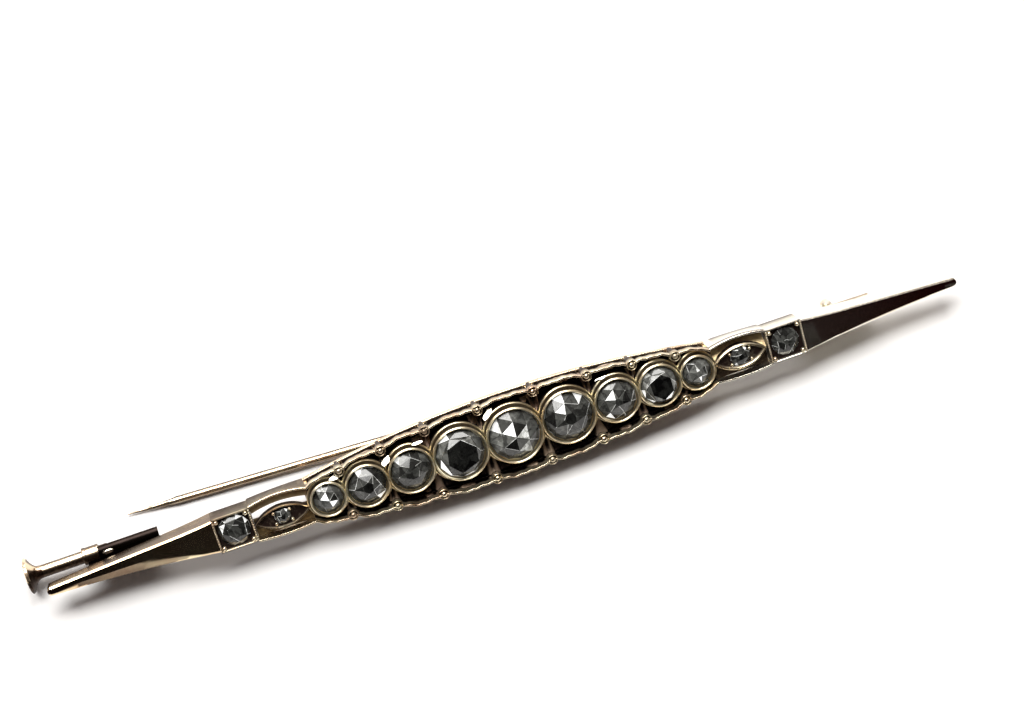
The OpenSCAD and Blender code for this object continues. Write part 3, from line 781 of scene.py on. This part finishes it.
def panel_shade(name, middle):
    """Painted shade: black round the sunk stone and under the milled beads, part shade on top of the frame
    (more along the left's lower edge), and on the outer walls as much as this end has.
    """
    def values(p):
        off, across = np.abs(p[:, 0] - middle), np.abs(p[:, 1])
        inside = (off < SQUARE_HALF - 0.1) & (across < 1.28)
        under_beads = (off > SQUARE_HALF - 0.14) & ((p[:, 2] > 2.0) | (across < 1.3))
        frame_top = np.where(p[:, 1] < -1.2, 0.85, 0.6) if name == "left" else 0.5
        rest = np.where(under_beads, 0.92, np.where(p[:, 2] < 2.0, WALL_SHADE[name], frame_top))
        return np.where(inside, np.clip((2.09 - p[:, 2]) / 0.08, 0.02, 1), rest)
    return values


for side, name in SIDES:
    middle = side * SQUARE_MIDDLE
    points, faces = dish(box_outline(SQUARE_HALF, SQUARE_HALF_Y, 0.07), dish_profile, (middle, 0, 0))
    points[:, 1] *= 1 - WALL_LEAN * (1 - np.clip(points[:, 2] / WALL_TOP, 0, 1))
    piece(f"square_panel_{name}", points, faces, END_GOLD[name], panel_shade(name, middle),
          nodes=[f"{name}_panel"])
    grains = [(middle + sx * GRAIN_X, sy * GRAIN_Y, 2.0) for sx in (-1, 1) for sy in (-1, 1)]
    # painted shade: the grains and the milled beads darken low down
    piece(f"grains_{name}", *joined(balls(grains, 0.18, 1.1)), gold, depth_shade(1.95, 2.1, 0.0, 0.9))
    beads = [(middle + sx * (SQUARE_HALF - 0.06), BEAD_STEP * k, 2.07)
             for sx in (-1, 1) for k in range(-6, 7)]
    piece(f"milled_edges_{name}", *joined(balls(beads, 0.08)), gold, depth_shade(2.09, 2.15, 0.15, 1.0))

# %% [markdown]
# ## Pierced panels
#
# Two walls curve from the row to the square panel, and between them lies a pointed oval plate, called a
# boat here, with a small stone held by four grains. The walls are swept along shallow arcs, the boat is a
# dish whose outline is two arcs, and sloping strips of floor show the gold that the eye meets beside it.

# %% Boat plates
# half width of the boat, its place across the bar, how wide its rim is, and the radius of its stone
BOATS = {"left": (0.9, -0.2, 1.0, 0.62), "right": (1.0, 0.0, 1.5, 0.8)}
BOAT_HALF_LONG = PIERCED / 2 - 0.05
BOAT_GRAIN_Y = 0.42


def boat_outline(half_long, half_wide, steps=72):
    """Two arcs of the radius (l^2 + w^2) / 2w that meet in points, anticlockwise."""
    bend = (half_long ** 2 + half_wide ** 2) / (2 * half_wide)
    angle = np.arange(steps) * TAU / steps
    along = half_long * np.cos(angle)
    across = np.sqrt(np.maximum(bend ** 2 - along ** 2, 0)) - (bend - half_wide)
    return np.column_stack([along, np.sign(np.sin(angle)) * across])


for side, name in SIDES:
    middle = side * PANEL_MIDDLE
    half_wide, boat_y, rim, stone_r = BOATS[name]
    profile = [(0, 1.4), (0, 1.86), (0.09 * rim, 1.98), (0.13 * rim, 1.98), (0.21 * rim, 1.87),
               (0.23 * rim, 1.76), (0.5, 1.74), (0.89, 1.74)]
    plate = dish(boat_outline(BOAT_HALF_LONG, half_wide), profile, (middle, boat_y, 0))
    grains = [(middle + sx * stone_r, boat_y + sy * BOAT_GRAIN_Y, 1.86) for sx in (-1, 1) for sy in (1, -1)]
    # painted shade: the boat darkens below its rim, on its sunk floor and low grains
    piece(f"boat_plate_{name}", *joined([plate] + balls(grains, 0.13, 1.2)), gold,
          depth_shade(1.86, 1.98, 0.02, 1.0))

# %% Walls of the pierced panels
WALL_Y, WALL_BOW = 1.36, {1: 0.3, -1: 0.14}
WALL_EDGE, END_LEAN, FOOT_BOW = 2.04, 0.12, 0.06
wall = rounded([[-0.12, 0.0], [0.12, 0.0], [0.12, 1.72], [0.115, 1.8], [0.11, WALL_EDGE], [0.06, 2.1],
                [-0.05, 2.1]], 0.04)


def panel_arc(middle, sign, y):
    """An arc from end to end of a pierced panel, with the bow of its upper or lower wall."""
    return bowed((middle - PIERCED / 2, y), (middle + PIERCED / 2, y), WALL_BOW[sign], 40) * [1, sign, 1]


def wall_shade(name, middle):
    """Painted shade: outside as much as this end's walls have and strong near the top, inside darker
    downwards, and clean along the top edge.
    """
    def values(p):
        t = np.clip((p[:, 0] - middle) / PIERCED + 0.5, 0, 1)
        bow = np.where(p[:, 1] > 0, WALL_BOW[1], WALL_BOW[-1]) * 4 * t * (1 - t)
        inner = np.clip((2.0 - p[:, 2]) / 0.9, 0.2, 1)
        outer = np.where(p[:, 2] > 1.75, 0.85, WALL_SHADE[name])
        face = np.where(np.abs(p[:, 1]) > WALL_Y + bow + 0.02, outer, inner)
        return np.where(p[:, 2] > WALL_EDGE, 0.02, face)
    return values


for side, name in SIDES:
    middle = side * PANEL_MIDDLE
    nets = []
    for sign in (1, -1):
        points, faces = sweep(panel_arc(middle, sign, WALL_Y), wall * [sign, 1])
        t = np.clip((points[:, 0] - middle) / PIERCED + 0.5, 0, 1)
        outwards = 1 - t if side < 0 else t
        lean = END_LEAN * outwards + (WALL_BOW[sign] - FOOT_BOW) * 4 * t * (1 - t)
        points[:, 1] -= sign * lean * (1 - np.clip(points[:, 2] / WALL_TOP, 0, 1))
        nets.append((points, faces))
    piece(f"panel_walls_{name}", *joined(nets), END_GOLD[name], wall_shade(name, middle))

# %% Floors of the pierced panels, and a ledge above the left boat
FLOOR_THICK, FLOOR_HALF, LEDGE_IN = 0.2, 2.15, 0.36
# side, part, y of its two edges, their heights, and painted darkening: near-black shade on the two lower
# floors, little on the upper one
FLOORS = [(-1, "left_lower", -1.3, 0.1, 1.15, 1.15, 0.88), (1, "right_lower", -1.3, 0.1, 1.15, 1.15, 1.0),
          (1, "right_upper", 0.05, 1.3, 1.55, 0.65, 0.1)]
for side, part, low, high, low_z, high_z, darkening in FLOORS:
    flat = rounded([[low, low_z], [high, high_z], [high, high_z + FLOOR_THICK],
                    [low, low_z + FLOOR_THICK]], 0.03)
    path = straight((side * PANEL_MIDDLE - FLOOR_HALF, 0), (side * PANEL_MIDDLE + FLOOR_HALF, 0))
    piece(f"panel_floor_{part}", *sweep(path, flat), olive_gold, darkening)
ledge = rounded([[-0.3, 1.56], [0.3, 1.4], [0.3, 1.56], [-0.3, 1.72]], 0.03)
piece("panel_ledge_left", *sweep(panel_arc(-PANEL_MIDDLE, 1, WALL_Y - LEDGE_IN), ledge), olive_gold, 0.4)

# %% [markdown]
# ## Points
#
# Each end runs out in a long hollow point with a flat polished face, upright walls and a round tip. The
# form is swept by its width: at every station along the bar one section is drawn, with its corners held a
# fixed inset from the edge, so that the small bright bevel keeps its width down to the tip.

# %% Stations and sections
POINT_LENGTH, TIP_R = BAR_HALF - POINT_X, 0.3
POINT_TOP, POINT_FALL, POINT_RISE = 2.05, 0.4, 0.56
FROM_BOTTOM, KEEP_DROP = 1, 2
# share of the length and half width there
half_widths = np.array([[0.00, 1.27], [0.06, 1.17], [0.18, 1.02], [0.36, 0.86], [0.6, 0.65], [0.85, 0.43],
                        [1.0, 0.31]])
stations = np.concatenate([np.linspace(0, 0.97, 40), 0.97 + 0.03 * np.sin(np.linspace(0.1, math.pi / 2, 14))])
from_tip = (1 - stations) * POINT_LENGTH
half_w = np.interp(stations, *half_widths.T)
half_w *= np.where(from_tip < TIP_R, np.sqrt(np.maximum(1 - (1 - from_tip / TIP_R) ** 2, 0.0004)), 1)
top = POINT_TOP - POINT_FALL * stations - 0.1 * (1 - np.minimum(half_w / 0.2, 1)) ** 2
bottom = POINT_RISE * stations
# inset from the edge, drop below the top, and a mark: FROM_BOTTOM counts the height from the bottom instead,
# and KEEP_DROP doesn't narrow the drop with the section
foot = [[0.05, 0.0, FROM_BOTTOM], [0.0, 0.06, FROM_BOTTOM]]
bright_edge = np.array(foot + [[0.0, 0.28, KEEP_DROP], [0.0, 0.2, 0], [0.015, 0.16, 0], [0.19, 0.015, 0],
                               [0.22, 0.0, 0], [0.3, 0.0, 0], [0.6, 0.01, 0]])
soft_edge = np.array(foot + [[0.0, 0.5, KEEP_DROP], [0.0, 0.22, 0], [0.02, 0.17, 0], [0.1, 0.125, 0],
                             [0.3, 0.03, 0], [0.42, 0.006, 0], [0.6, 0.0, 0]])
small_edge = soft_edge * [0.3, 0.3, 1]
small_edge[:2] = soft_edge[:2]
print("a point has", len(stations), "sections of", 2 * len(soft_edge), "points")

# %% Two tapered points
LOWER_EDGE = {"left": soft_edge, "right": small_edge}
POINT_GOLD = {"left": mirror_gold, "right": maroon_gold}
# painted shade on the face at the panel, and how much more there is at the tip
FACE_SHADE = {"left": (0.72, 0.28), "right": (0.93, 0.09)}


def point_shade(name):
    """Painted shade: walls as dark as this end's, a clean edge, and a mirror face painted darker towards the
    tip, as it shows the dark room.
    """
    def values(p):
        station = np.clip((np.abs(p[:, 0]) - POINT_X) / POINT_LENGTH, 0, 1)
        half = np.interp(station, *half_widths.T)
        drop = POINT_TOP - POINT_FALL * station - p[:, 2]
        edge = np.abs(p[:, 1]) > half - 0.2 * (0.5 + 0.1 * station)
        at_panel, more = FACE_SHADE[name]
        return np.where(drop > 0.25, WALL_SHADE[name], np.where(edge, 0.0, at_panel + more * station))
    return values


upper_width = 0.5 + 0.1 * stations
lower_width = 0.5 + 1.6 * np.sin(math.pi * np.clip(1.15 * stations - 0.1, 0, 1))
for side, name in SIDES:
    section = np.concatenate([bright_edge, LOWER_EDGE[name][::-1]])
    inset, drop, mark = section.T
    sign = np.repeat([1, -1], len(bright_edge))
    narrow = np.where(sign > 0, upper_width[:, None], lower_width[:, None])
    narrow = np.where(mark > 0, 1.0, narrow)
    y = sign * np.maximum(half_w[:, None] - inset * narrow, 0)
    z = np.where(mark == FROM_BOTTOM, bottom[:, None] + drop, top[:, None] - drop * narrow)
    x = np.broadcast_to(side * (POINT_X + stations * POINT_LENGTH)[:, None], y.shape)
    piece(f"point_{name}", *net(np.stack([x, y, z], -1)), POINT_GOLD[name], point_shade(name),
          nodes=[f"{name}_point"], sharp=26)

# %% [markdown]
# ## Hinge and catch
#
# The pin turns between two knuckles on a small plate behind the right point. Behind the left point a fixed
# tube is cut open where the pin comes in, and a closed collar at its end guides the sliding tube. The tubes
# are lathe forms about the bar's length, and the open part is a half ring swept along it.

# %% Hinge plate and knuckles
CANT, SLANT = math.radians(28.5), math.atan2(CATCH_Y - HINGE_Y, HINGE_X + 27.2)
SOLDER_EDGE = 0.06
KNUCKLES = ((-0.85, -0.32), (0.32, 0.78))


def at_hinge(points):
    """From the hinge's own frame, with its rivet along y, to the bench frame."""
    return turned_about(turned_about(points, "x", CANT), "z", -SLANT) + [HINGE_X, HINGE_Y, LINE_Z]


def along(points, axis):
    """Turns a form that was made about z so that it lies about x or y."""
    order, signs = {"x": ([2, 1, 0], [1, -1, 1]), "y": ([0, 2, 1], [1, 1, -1])}[axis]
    return points[:, order] * signs


folded = rounded([[-0.85, 0.53], [0.6, 0.53], [0.6, 0.3], [0.85, 0.3], [0.85, 0.83], [-0.85, 0.83]],
                 SOLDER_EDGE)
nets = [sweep(straight((-2.6, 0), (3.3, 0)), folded)]
for low, high in KNUCKLES:
    points, faces = lathe(rounded([[0.21, low], [0.45, low], [0.45, high], [0.21, high]], SOLDER_EDGE), 40)
    nets.append((along(points, "y"), faces))
    nets.append(sweep(straight((0, low), (0, high), 5), rectangle(0.5, 0.1, 0.7, SOLDER_EDGE)))
nets = [(at_hinge(points), faces) for points, faces in nets]
pad_y = HINGE_Y - 0.05
nets.append(sweep(straight((HINGE_X - 1.9, pad_y), (HINGE_X + 1.5, pad_y)),
                  rectangle(0.45, -0.35, 0.4, SOLDER_EDGE)))
# the paler lit copy with almost no shade: painted highlight
piece("hinge_plate", *joined(nets), lit_gold, 0.05)

# %% Fixed tube of the catch
BORE_R, TUBE_R, LIP = 0.51, 0.64, 0.03
COLLAR_END, COLLAR_LENGTH, CHANNEL_START, CHANNEL_END = -33.0, 1.25, -31.85, -27.2
CATCH_LINE = np.array([0, CATCH_Y, LINE_Z])
# height in the picture on the tube, and painted light and shade there: dark underneath and along a thin top
# line, clean where the light falls
TUBE_SHADE = [(-1, 0.99), (0.0, 0.97), (0.25, 0.6), (0.42, 0.02), (0.72, 0.05), (0.85, 0.88), (1, 0.97)]
KNOB_END = CATCH_LINE - [KNOB_X, 0, 0]
tube_shade = picture_side_shade(KNOB_END, CATCH_LINE, TUBE_SHADE)
# radius, and distance from the collar's end
collar = rounded(np.array([[BORE_R + 0.1, 0.0], [TUBE_R, 0.0], [TUBE_R + LIP, 0.06], [TUBE_R + LIP, 0.2],
                           [TUBE_R, 0.28], [TUBE_R, COLLAR_LENGTH], [BORE_R, COLLAR_LENGTH], [BORE_R, 0.22],
                           [BORE_R + 0.04, 0.1]]) + [0, COLLAR_END], 0.03)
points, faces = lathe(collar, 48)
piece("collar", along(points, "x") + CATCH_LINE, faces, pin_gold, tube_shade)
half_turn = CANT + np.linspace(0, math.pi, 25)
half_ring = np.column_stack([np.cos(half_turn), np.sin(half_turn)])
channel = sweep(straight((CHANNEL_START, 0), (CHANNEL_END, 0), 30) + CATCH_LINE,
                np.concatenate([TUBE_R * half_ring, BORE_R * half_ring[::-1]]))
pad = sweep(straight((-32.7, 0.28), (-27.4, 0.28)), rectangle(0.22, -0.52, 0.55, SOLDER_EDGE))
# near black all over: painted shade in the open channel
piece("catch_channel", *joined([channel, pad]), shade_gold, 0.9)
# a small pale dome with no shade, which makes the bright glint on the channel: painted highlight
points, faces = balls([(0, 0, 0)], 0.2)[0]
piece("glint_drop", points * [2.4, 1, 0.8] + CATCH_LINE + [-31.1, 0.02, 0.56], faces, lit_gold, 0.0)

# %% Sliding tube with its flared knob
SLEEVE_R, SLEEVE_BORE, SLEEVE_LENGTH, FLARE_END = 0.48, 0.36, 6.2, 1.2
away = np.linspace(0, 1.1, 16)
flare = np.column_stack([SLEEVE_R + 0.84 * np.exp(-((away / 0.3) ** 1.4)), 0.24 + away])
knob = rounded([[0.001, 0.03], [0.5, 0.0], [KNOB_R - 0.1, 0.02], [KNOB_R, 0.1], [KNOB_R - 0.02, 0.18]], 0.05)
tube = np.array([[SLEEVE_R, 1.6], [SLEEVE_R, 4.0], [SLEEVE_R, SLEEVE_LENGTH - 0.05],
                 [SLEEVE_R - 0.03, SLEEVE_LENGTH], [SLEEVE_BORE + 0.02, SLEEVE_LENGTH],
                 [SLEEVE_BORE, SLEEVE_LENGTH - 0.05], [SLEEVE_BORE, 1.0], [0.001, 0.98]])
# height in the picture on the flare, and painted shade there: black below, clean near the top
FLARE_SHADE = [(-1, 1.0), (0.4, 1.0), (0.55, 0.1), (0.82, 0.05), (0.92, 0.9), (1, 0.95)]
flare_shade = picture_side_shade(KNOB_END, CATCH_LINE, FLARE_SHADE)


def slide_shade(p):
    """Painted light and shade: as on the collar along the tube; the flare is black below, and the upper half
    of the knob's edge is left clean so that it shows lit.
    """
    far = np.hypot(p[:, 1] - CATCH_Y, p[:, 2] - LINE_Z)
    lit_rim = (far > KNOB_R - 0.12) & (p[:, 1] > CATCH_Y)
    return np.where(p[:, 0] > FLARE_END - KNOB_X, tube_shade(p), np.where(lit_rim, 0.05, flare_shade(p)))


points, faces = lathe(np.concatenate([knob, flare, tube]), 72, wave=0.004)
piece("sliding_tube", along(points, "x") + KNOB_END, faces, pin_gold, slide_shade,
      body="slide", nodes=["catch_slide"], slot="pin_gold")

# %% [markdown]
# ## The pin
#
# The pin is a hard-drawn wire with an eye bent round the rivet. Its last few millimetres are filed to a
# point by hand, which leaves flats and a small step. It lies on the table, so its angle isn't free: it is
# the one at which the wire touches the table.

# %% How far the pin stands open
PIN_LENGTH, PIN_TAPER, PIN_R, REST_GAP = 55.4, 3.8, 0.3, 0.01
shank = PIN_LENGTH - PIN_TAPER


def rise(y, z):
    """How far up from the table a step of y and z on the bench leads."""
    return y * math.sin(LEAN) + z * math.cos(LEAN)


room = rise(HINGE_Y + shank * math.sin(SLANT), LINE_Z) + ON_TABLE[2] - PIN_R - REST_GAP
PIN_OPEN = math.asin(room / (-rise(math.sin(CANT), -math.cos(CANT)) * shank))
print("the pin stands open by", round(math.degrees(PIN_OPEN), 3), "degrees")

# %% Pin with its eye and its filed point
FILED_FROM, TIP_SHARE = 0.4, 0.83
# height in the picture on the wire, and painted light and shade there: dark below and along the top, clean on
# the lit side
WIRE_SHADE = [(-1, 0.98), (-0.75, 0.9), (-0.5, 0.5), (-0.25, 0.12), (0, 0.0), (0.5, 0.0), (0.72, 0.9),
              (1, 0.98)]
filed_part = shank - FILED_FROM + (PIN_TAPER + FILED_FROM) * np.linspace(0.02, 1, 40)
length = np.concatenate([np.linspace(0.25, shank - FILED_FROM, 60), filed_part])
filed = np.clip((length - shank) / PIN_TAPER, 0, 1)
radius = PIN_R * (1 - TIP_SHARE * filed ** 0.8) * (1 + 0.012 * np.sin(length * 1.7) * (length < shank))
around = np.arange(28) * TAU / 28
ring = radius[:, None] * (1 - 0.12 * np.abs(np.sin(1.5 * around)) * np.clip(filed * 6, 0, 1)[:, None])
backwards = -np.broadcast_to(length[:, None], ring.shape)
wire = net(np.stack([backwards, ring * np.cos(around), ring * np.sin(around)], -1))
eye_points, eye_faces = lathe(rounded([[0.21, -0.28], [0.44, -0.28], [0.5, -0.2], [0.5, 0.2], [0.44, 0.28],
                                       [0.21, 0.28]], 0.05), 44)
points, faces = joined([wire, (along(eye_points, "y"), eye_faces)])
axis = at_hinge(turned_about([[0, 0, 0], [-PIN_LENGTH, 0, 0]], "y", -PIN_OPEN))
wire_shade = picture_side_shade(axis[0], axis[1], WIRE_SHADE)
# darker in bands along the filed tip
banded_tip = lambda p: np.clip((-p[:, 0] - 24.0) / 2, 0, 1) * (0.4 + 0.4 * np.sin(5 * p[:, 0]))
piece("pin", at_hinge(turned_about(points, "y", -PIN_OPEN)), faces, pin_gold,
      lambda p: np.maximum(wire_shade(p), banded_tip(p)), body="pin", nodes=["brooch_pin"], slot="pin_gold")
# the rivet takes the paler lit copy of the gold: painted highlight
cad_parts["hinge_rivet"].data.materials.clear()
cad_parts["hinge_rivet"].data.materials.append(lit_gold)

# %% [markdown]
# ## Rose-cut stones
#
# A rose cut has a flat back, a thin girdle and a dome of flat facets: a table, or a point in the middle, with
# a ring of facets round it. Each was cut by hand to suit its rough, so every stone here has its own number of
# sides, table and turn, and corners that stray a little. Rings of corners are joined by triangles, shaded
# flat. What a stone shows is painted: each facet gets its own brightness, most at random, and each stone's
# list says which of its facets get painted flashes of light.

# %% Old diamond, painted brighter or darker facet by facet
CELLS, SHARDS, CLOUD = 1500, 3600, 2600
GLASS_ROUGH, GLASS_IOR = 0.09, 1.6
# painted brightness and the colour it gives, the brightest glowing
DIAMOND = [(0.0, (0.003, 0.003, 0.003)), (0.25, (0.022, 0.023, 0.021)), (0.5, (0.12, 0.124, 0.115)),
           (0.75, (0.42, 0.43, 0.40)), (1.0, (0.95, 0.96, 0.95))]


def old_diamond(name):
    """Glassy grey with painted reflections: the facet attribute is a painted brightness for each face, broken
    noise cells play round that, and the brightest parts are made to glow.
    """
    material = bpy.data.materials.new(name)
    shader, add, calculate = graph(material)
    where = add("TexCoord", "Object")
    bend = add("TexNoise", "Color", Vector=where, Scale=900, Detail=2)
    bent = add("Mix", 2, {"data_type": "RGBA", "blend_type": "LINEAR_LIGHT"}, i0=0.0006, i6=where, i7=bend)
    cells = add("SeparateColor", "Red", Color=add("TexVoronoi", "Color", Vector=bent, Scale=CELLS))
    shards = add("SeparateColor", "Green", Color=add("TexVoronoi", "Color", Vector=bent, Scale=SHARDS))
    cloud = add("TexNoise", "Fac", Vector=where, Scale=CLOUD, Detail=6, Roughness=0.7)
    facet = add("Attribute", "Fac", {"attribute_name": "facet"})
    value = facet
    for broken, most in ((cells, 0.10), (shards, 0.06)):
        value = calculate("ADD", value, add("MapRange", "Result", Value=broken, To_Min=-most, To_Max=most))
    value = calculate("MULTIPLY_ADD", cloud, 0.24, value)
    value = calculate("SUBTRACT", value, 0.12, clamp=True)
    colour = ramp(add, value, DIAMOND)
    # painted glow: the brightest parts emit light of their own colour
    painted_glow = add("MapRange", "Result", Value=value, From_Min=0.66, From_Max=1.0, To_Min=0.0, To_Max=0.85)
    fill(shader, Base_Color=colour, Emission_Color=colour, Emission_Strength=painted_glow, Roughness=GLASS_ROUGH,
         IOR=GLASS_IOR)
    return material


diamond = old_diamond("old_diamond")
print("diamond tones:", len(DIAMOND))

# %% One rose cut
PICTURE_TURN = math.radians(18.75)
GIRDLE, TABLE_FACE, NEVER = 0.14, 1, 9


def rose(radius, rise, sides, table, turn, base, middle, flashes, seed):
    """Corners, faces and a painted brightness for each face. Rings of 2s, 2s, s and s corners for s sides;
    table 0 ends in a point. Each entry of flashes, a painted highlight, is (angle in the picture, share of
    the radius, brightness) and takes the facet nearest to it."""
    chance = np.random.default_rng(seed)
    n = 2 * sides
    two = np.arange(n) / n * TAU + math.radians(turn)
    one = two[1::2]
    stray = lambda count, size: 1 + size * chance.uniform(-1, 1, count)
    sway = lambda size: chance.uniform(-size, size, sides)
    rings = [(radius * stray(n, 0.0), two, 0.0), (radius * stray(n, 0.012), two, GIRDLE),
             (radius * (0.58 + 0.4 * table) * stray(sides, 0.06), one + sway(0.06), GIRDLE + 0.6 * rise),
             (radius * max(table, 0.02) * stray(sides, 0.09), two[::2] + sway(0.08), GIRDLE + rise)]
    points = np.concatenate([np.column_stack([r * np.cos(a), r * np.sin(a), np.full(len(a), z)])
                             for r, a, z in rings])
    low, mid, high = n, 2 * n, 2 * n + sides
    faces = [list(range(n))[::-1], list(range(high, high + sides))]
    faces += [[k, (k + 1) % n, n + (k + 1) % n, n + k] for k in range(n)]
    for k in range(sides):
        g0, g1, g2 = low + 2 * k, low + 2 * k + 1, low + (2 * k + 2) % n
        m0, m1 = mid + k, mid + (k + 1) % sides
        t0, t1 = high + k, high + (k + 1) % sides
        faces += [[g0, g1, m0], [g1, g2, m0], [g2, m1, m0], [m0, t1, t0], [m0, m1, t1]]
    centres = np.array([points[face].mean(0) for face in faces])[:, :2] / radius
    values = base + 0.09 * chance.uniform(-1, 1, len(faces))
    values[TABLE_FACE] = middle
    for picture_angle, share, brightness in flashes:
        angle = math.radians(picture_angle) - PICTURE_TURN
        distance = np.hypot(*(centres - share * np.array([math.cos(angle), math.sin(angle)])).T)
        distance[[0, *range(2, 2 + n)]] = NEVER
        values[distance.argmin()] = brightness
    return points, faces, values


def stone(name, x, y, z, cut, radius, rise, seed):
    """A stone at its seat, standing for the node of the same name."""
    points, faces, values = rose(radius, rise, *cut, seed)
    piece("cut_" + name, points + np.array([x, y, z]), faces, diamond, nodes=[name], slot="stone", sharp=0,
          facets=values)


# %% The stones of the row
# sides, table, turn in degrees, painted brightness of most facets, painted brightness of the table, and the
# painted flashes
CUTS = [
    [6, 0.00, 10, 0.46, 0.5,
     [(130, 0.35, 1.1), (120, 0.6, 0.9), (-45, 0.4, 1.1), (170, 0.7, 0.2), (40, 0.5, 0.25), (10, 0.3, 0.2)]],
    [6, 0.30, 25, 0.30, 0.08,
     [(125, 0.8, 0.95), (100, 0.8, 0.5), (-20, 0.8, 0.55), (-40, 0.85, 0.95), (200, 0.5, 0.1)]],
    [7, 0.34, 5, 0.36, 0.34, [(150, 0.95, 0.8), (90, 0.8, 0.15), (-60, 0.8, 0.45)]],
    [6, 0.68, 20, 0.44, 0.08,
     [(140, 0.8, 1.0), (215, 0.8, 1.1), (235, 0.85, 1.1), (265, 0.8, 1.05), (290, 0.85, 0.9),
      (325, 0.8, 0.8)]],
    [6, 0.00, 0, 0.42, 0.4,
     [(150, 0.5, 1.15), (165, 0.7, 0.8), (-110, 0.3, 0.02), (15, 0.4, 0.8), (-60, 0.6, 0.7), (200, 0.8, 0.6),
      (80, 0.4, 0.15)]],
    [7, 0.26, 15, 0.38, 0.2,
     [(125, 0.75, 1.15), (140, 0.6, 1.0), (60, 0.75, 0.95), (-120, 0.6, 0.5), (0, 0.6, 0.2),
      (180, 0.7, 0.18)]],
    [6, 0.20, 12, 0.40, 0.3,
     [(165, 0.5, 1.05), (-110, 0.85, 1.1), (0, 0.5, 0.1), (70, 0.5, 0.18), (-60, 0.6, 0.45),
      (30, 0.4, 0.12)]],
    [6, 0.66, 28, 0.46, 0.04,
     [(-45, 0.8, 1.1), (-25, 0.85, 0.9), (200, 0.85, 0.9), (240, 0.85, 0.85), (150, 0.85, 0.75)]],
    [6, 0.22, 8, 0.38, 0.45, [(-60, 0.4, 1.1), (110, 0.3, 0.8), (-100, 0.4, 0.6)]],
]
SEAT_Z, SEAT_GAP = 1.82, 0.07
for (number, collet_r, x), cut in zip(ROW, CUTS):
    radius = collet_r - BEZEL - SEAT_GAP
    stone(f"main_stone_{number}", x, 0, SEAT_Z, cut, radius, 0.36 + 0.25 * radius, number)

# %% The stones of the panels
# radius, and then as above
PANEL_CUTS = {"left": (1.2, [7, 0.46, 45, 0.24, 0.3, [(50, 0.8, 1.0), (75, 0.8, 0.95), (100, 0.8, 0.5),
                                                      (165, 0.8, 0.95), (-60, 0.9, 0.7)]]),
              "right": (1.1, [8, 0.2, 0, 0.3, 0.35, [(60, 0.3, 0.6), (200, 0.5, 0.2)]])}
BOAT_CUT = [6, 0.3, 10, 0.28, 0.1, [(60, 0.7, 1.0), (-120, 0.7, 0.8)]]
for side, name in SIDES:
    radius, cut = PANEL_CUTS[name]
    stone(f"panel_stone_{name}", side * SQUARE_MIDDLE, 0, 1.68, cut, radius, 0.4, 20 + side)
    _, boat_y, _, radius = BOATS[name]
    stone(f"boat_stone_{name}", side * PANEL_MIDDLE, boat_y, 1.66, BOAT_CUT, radius, 0.3, 30 + side)
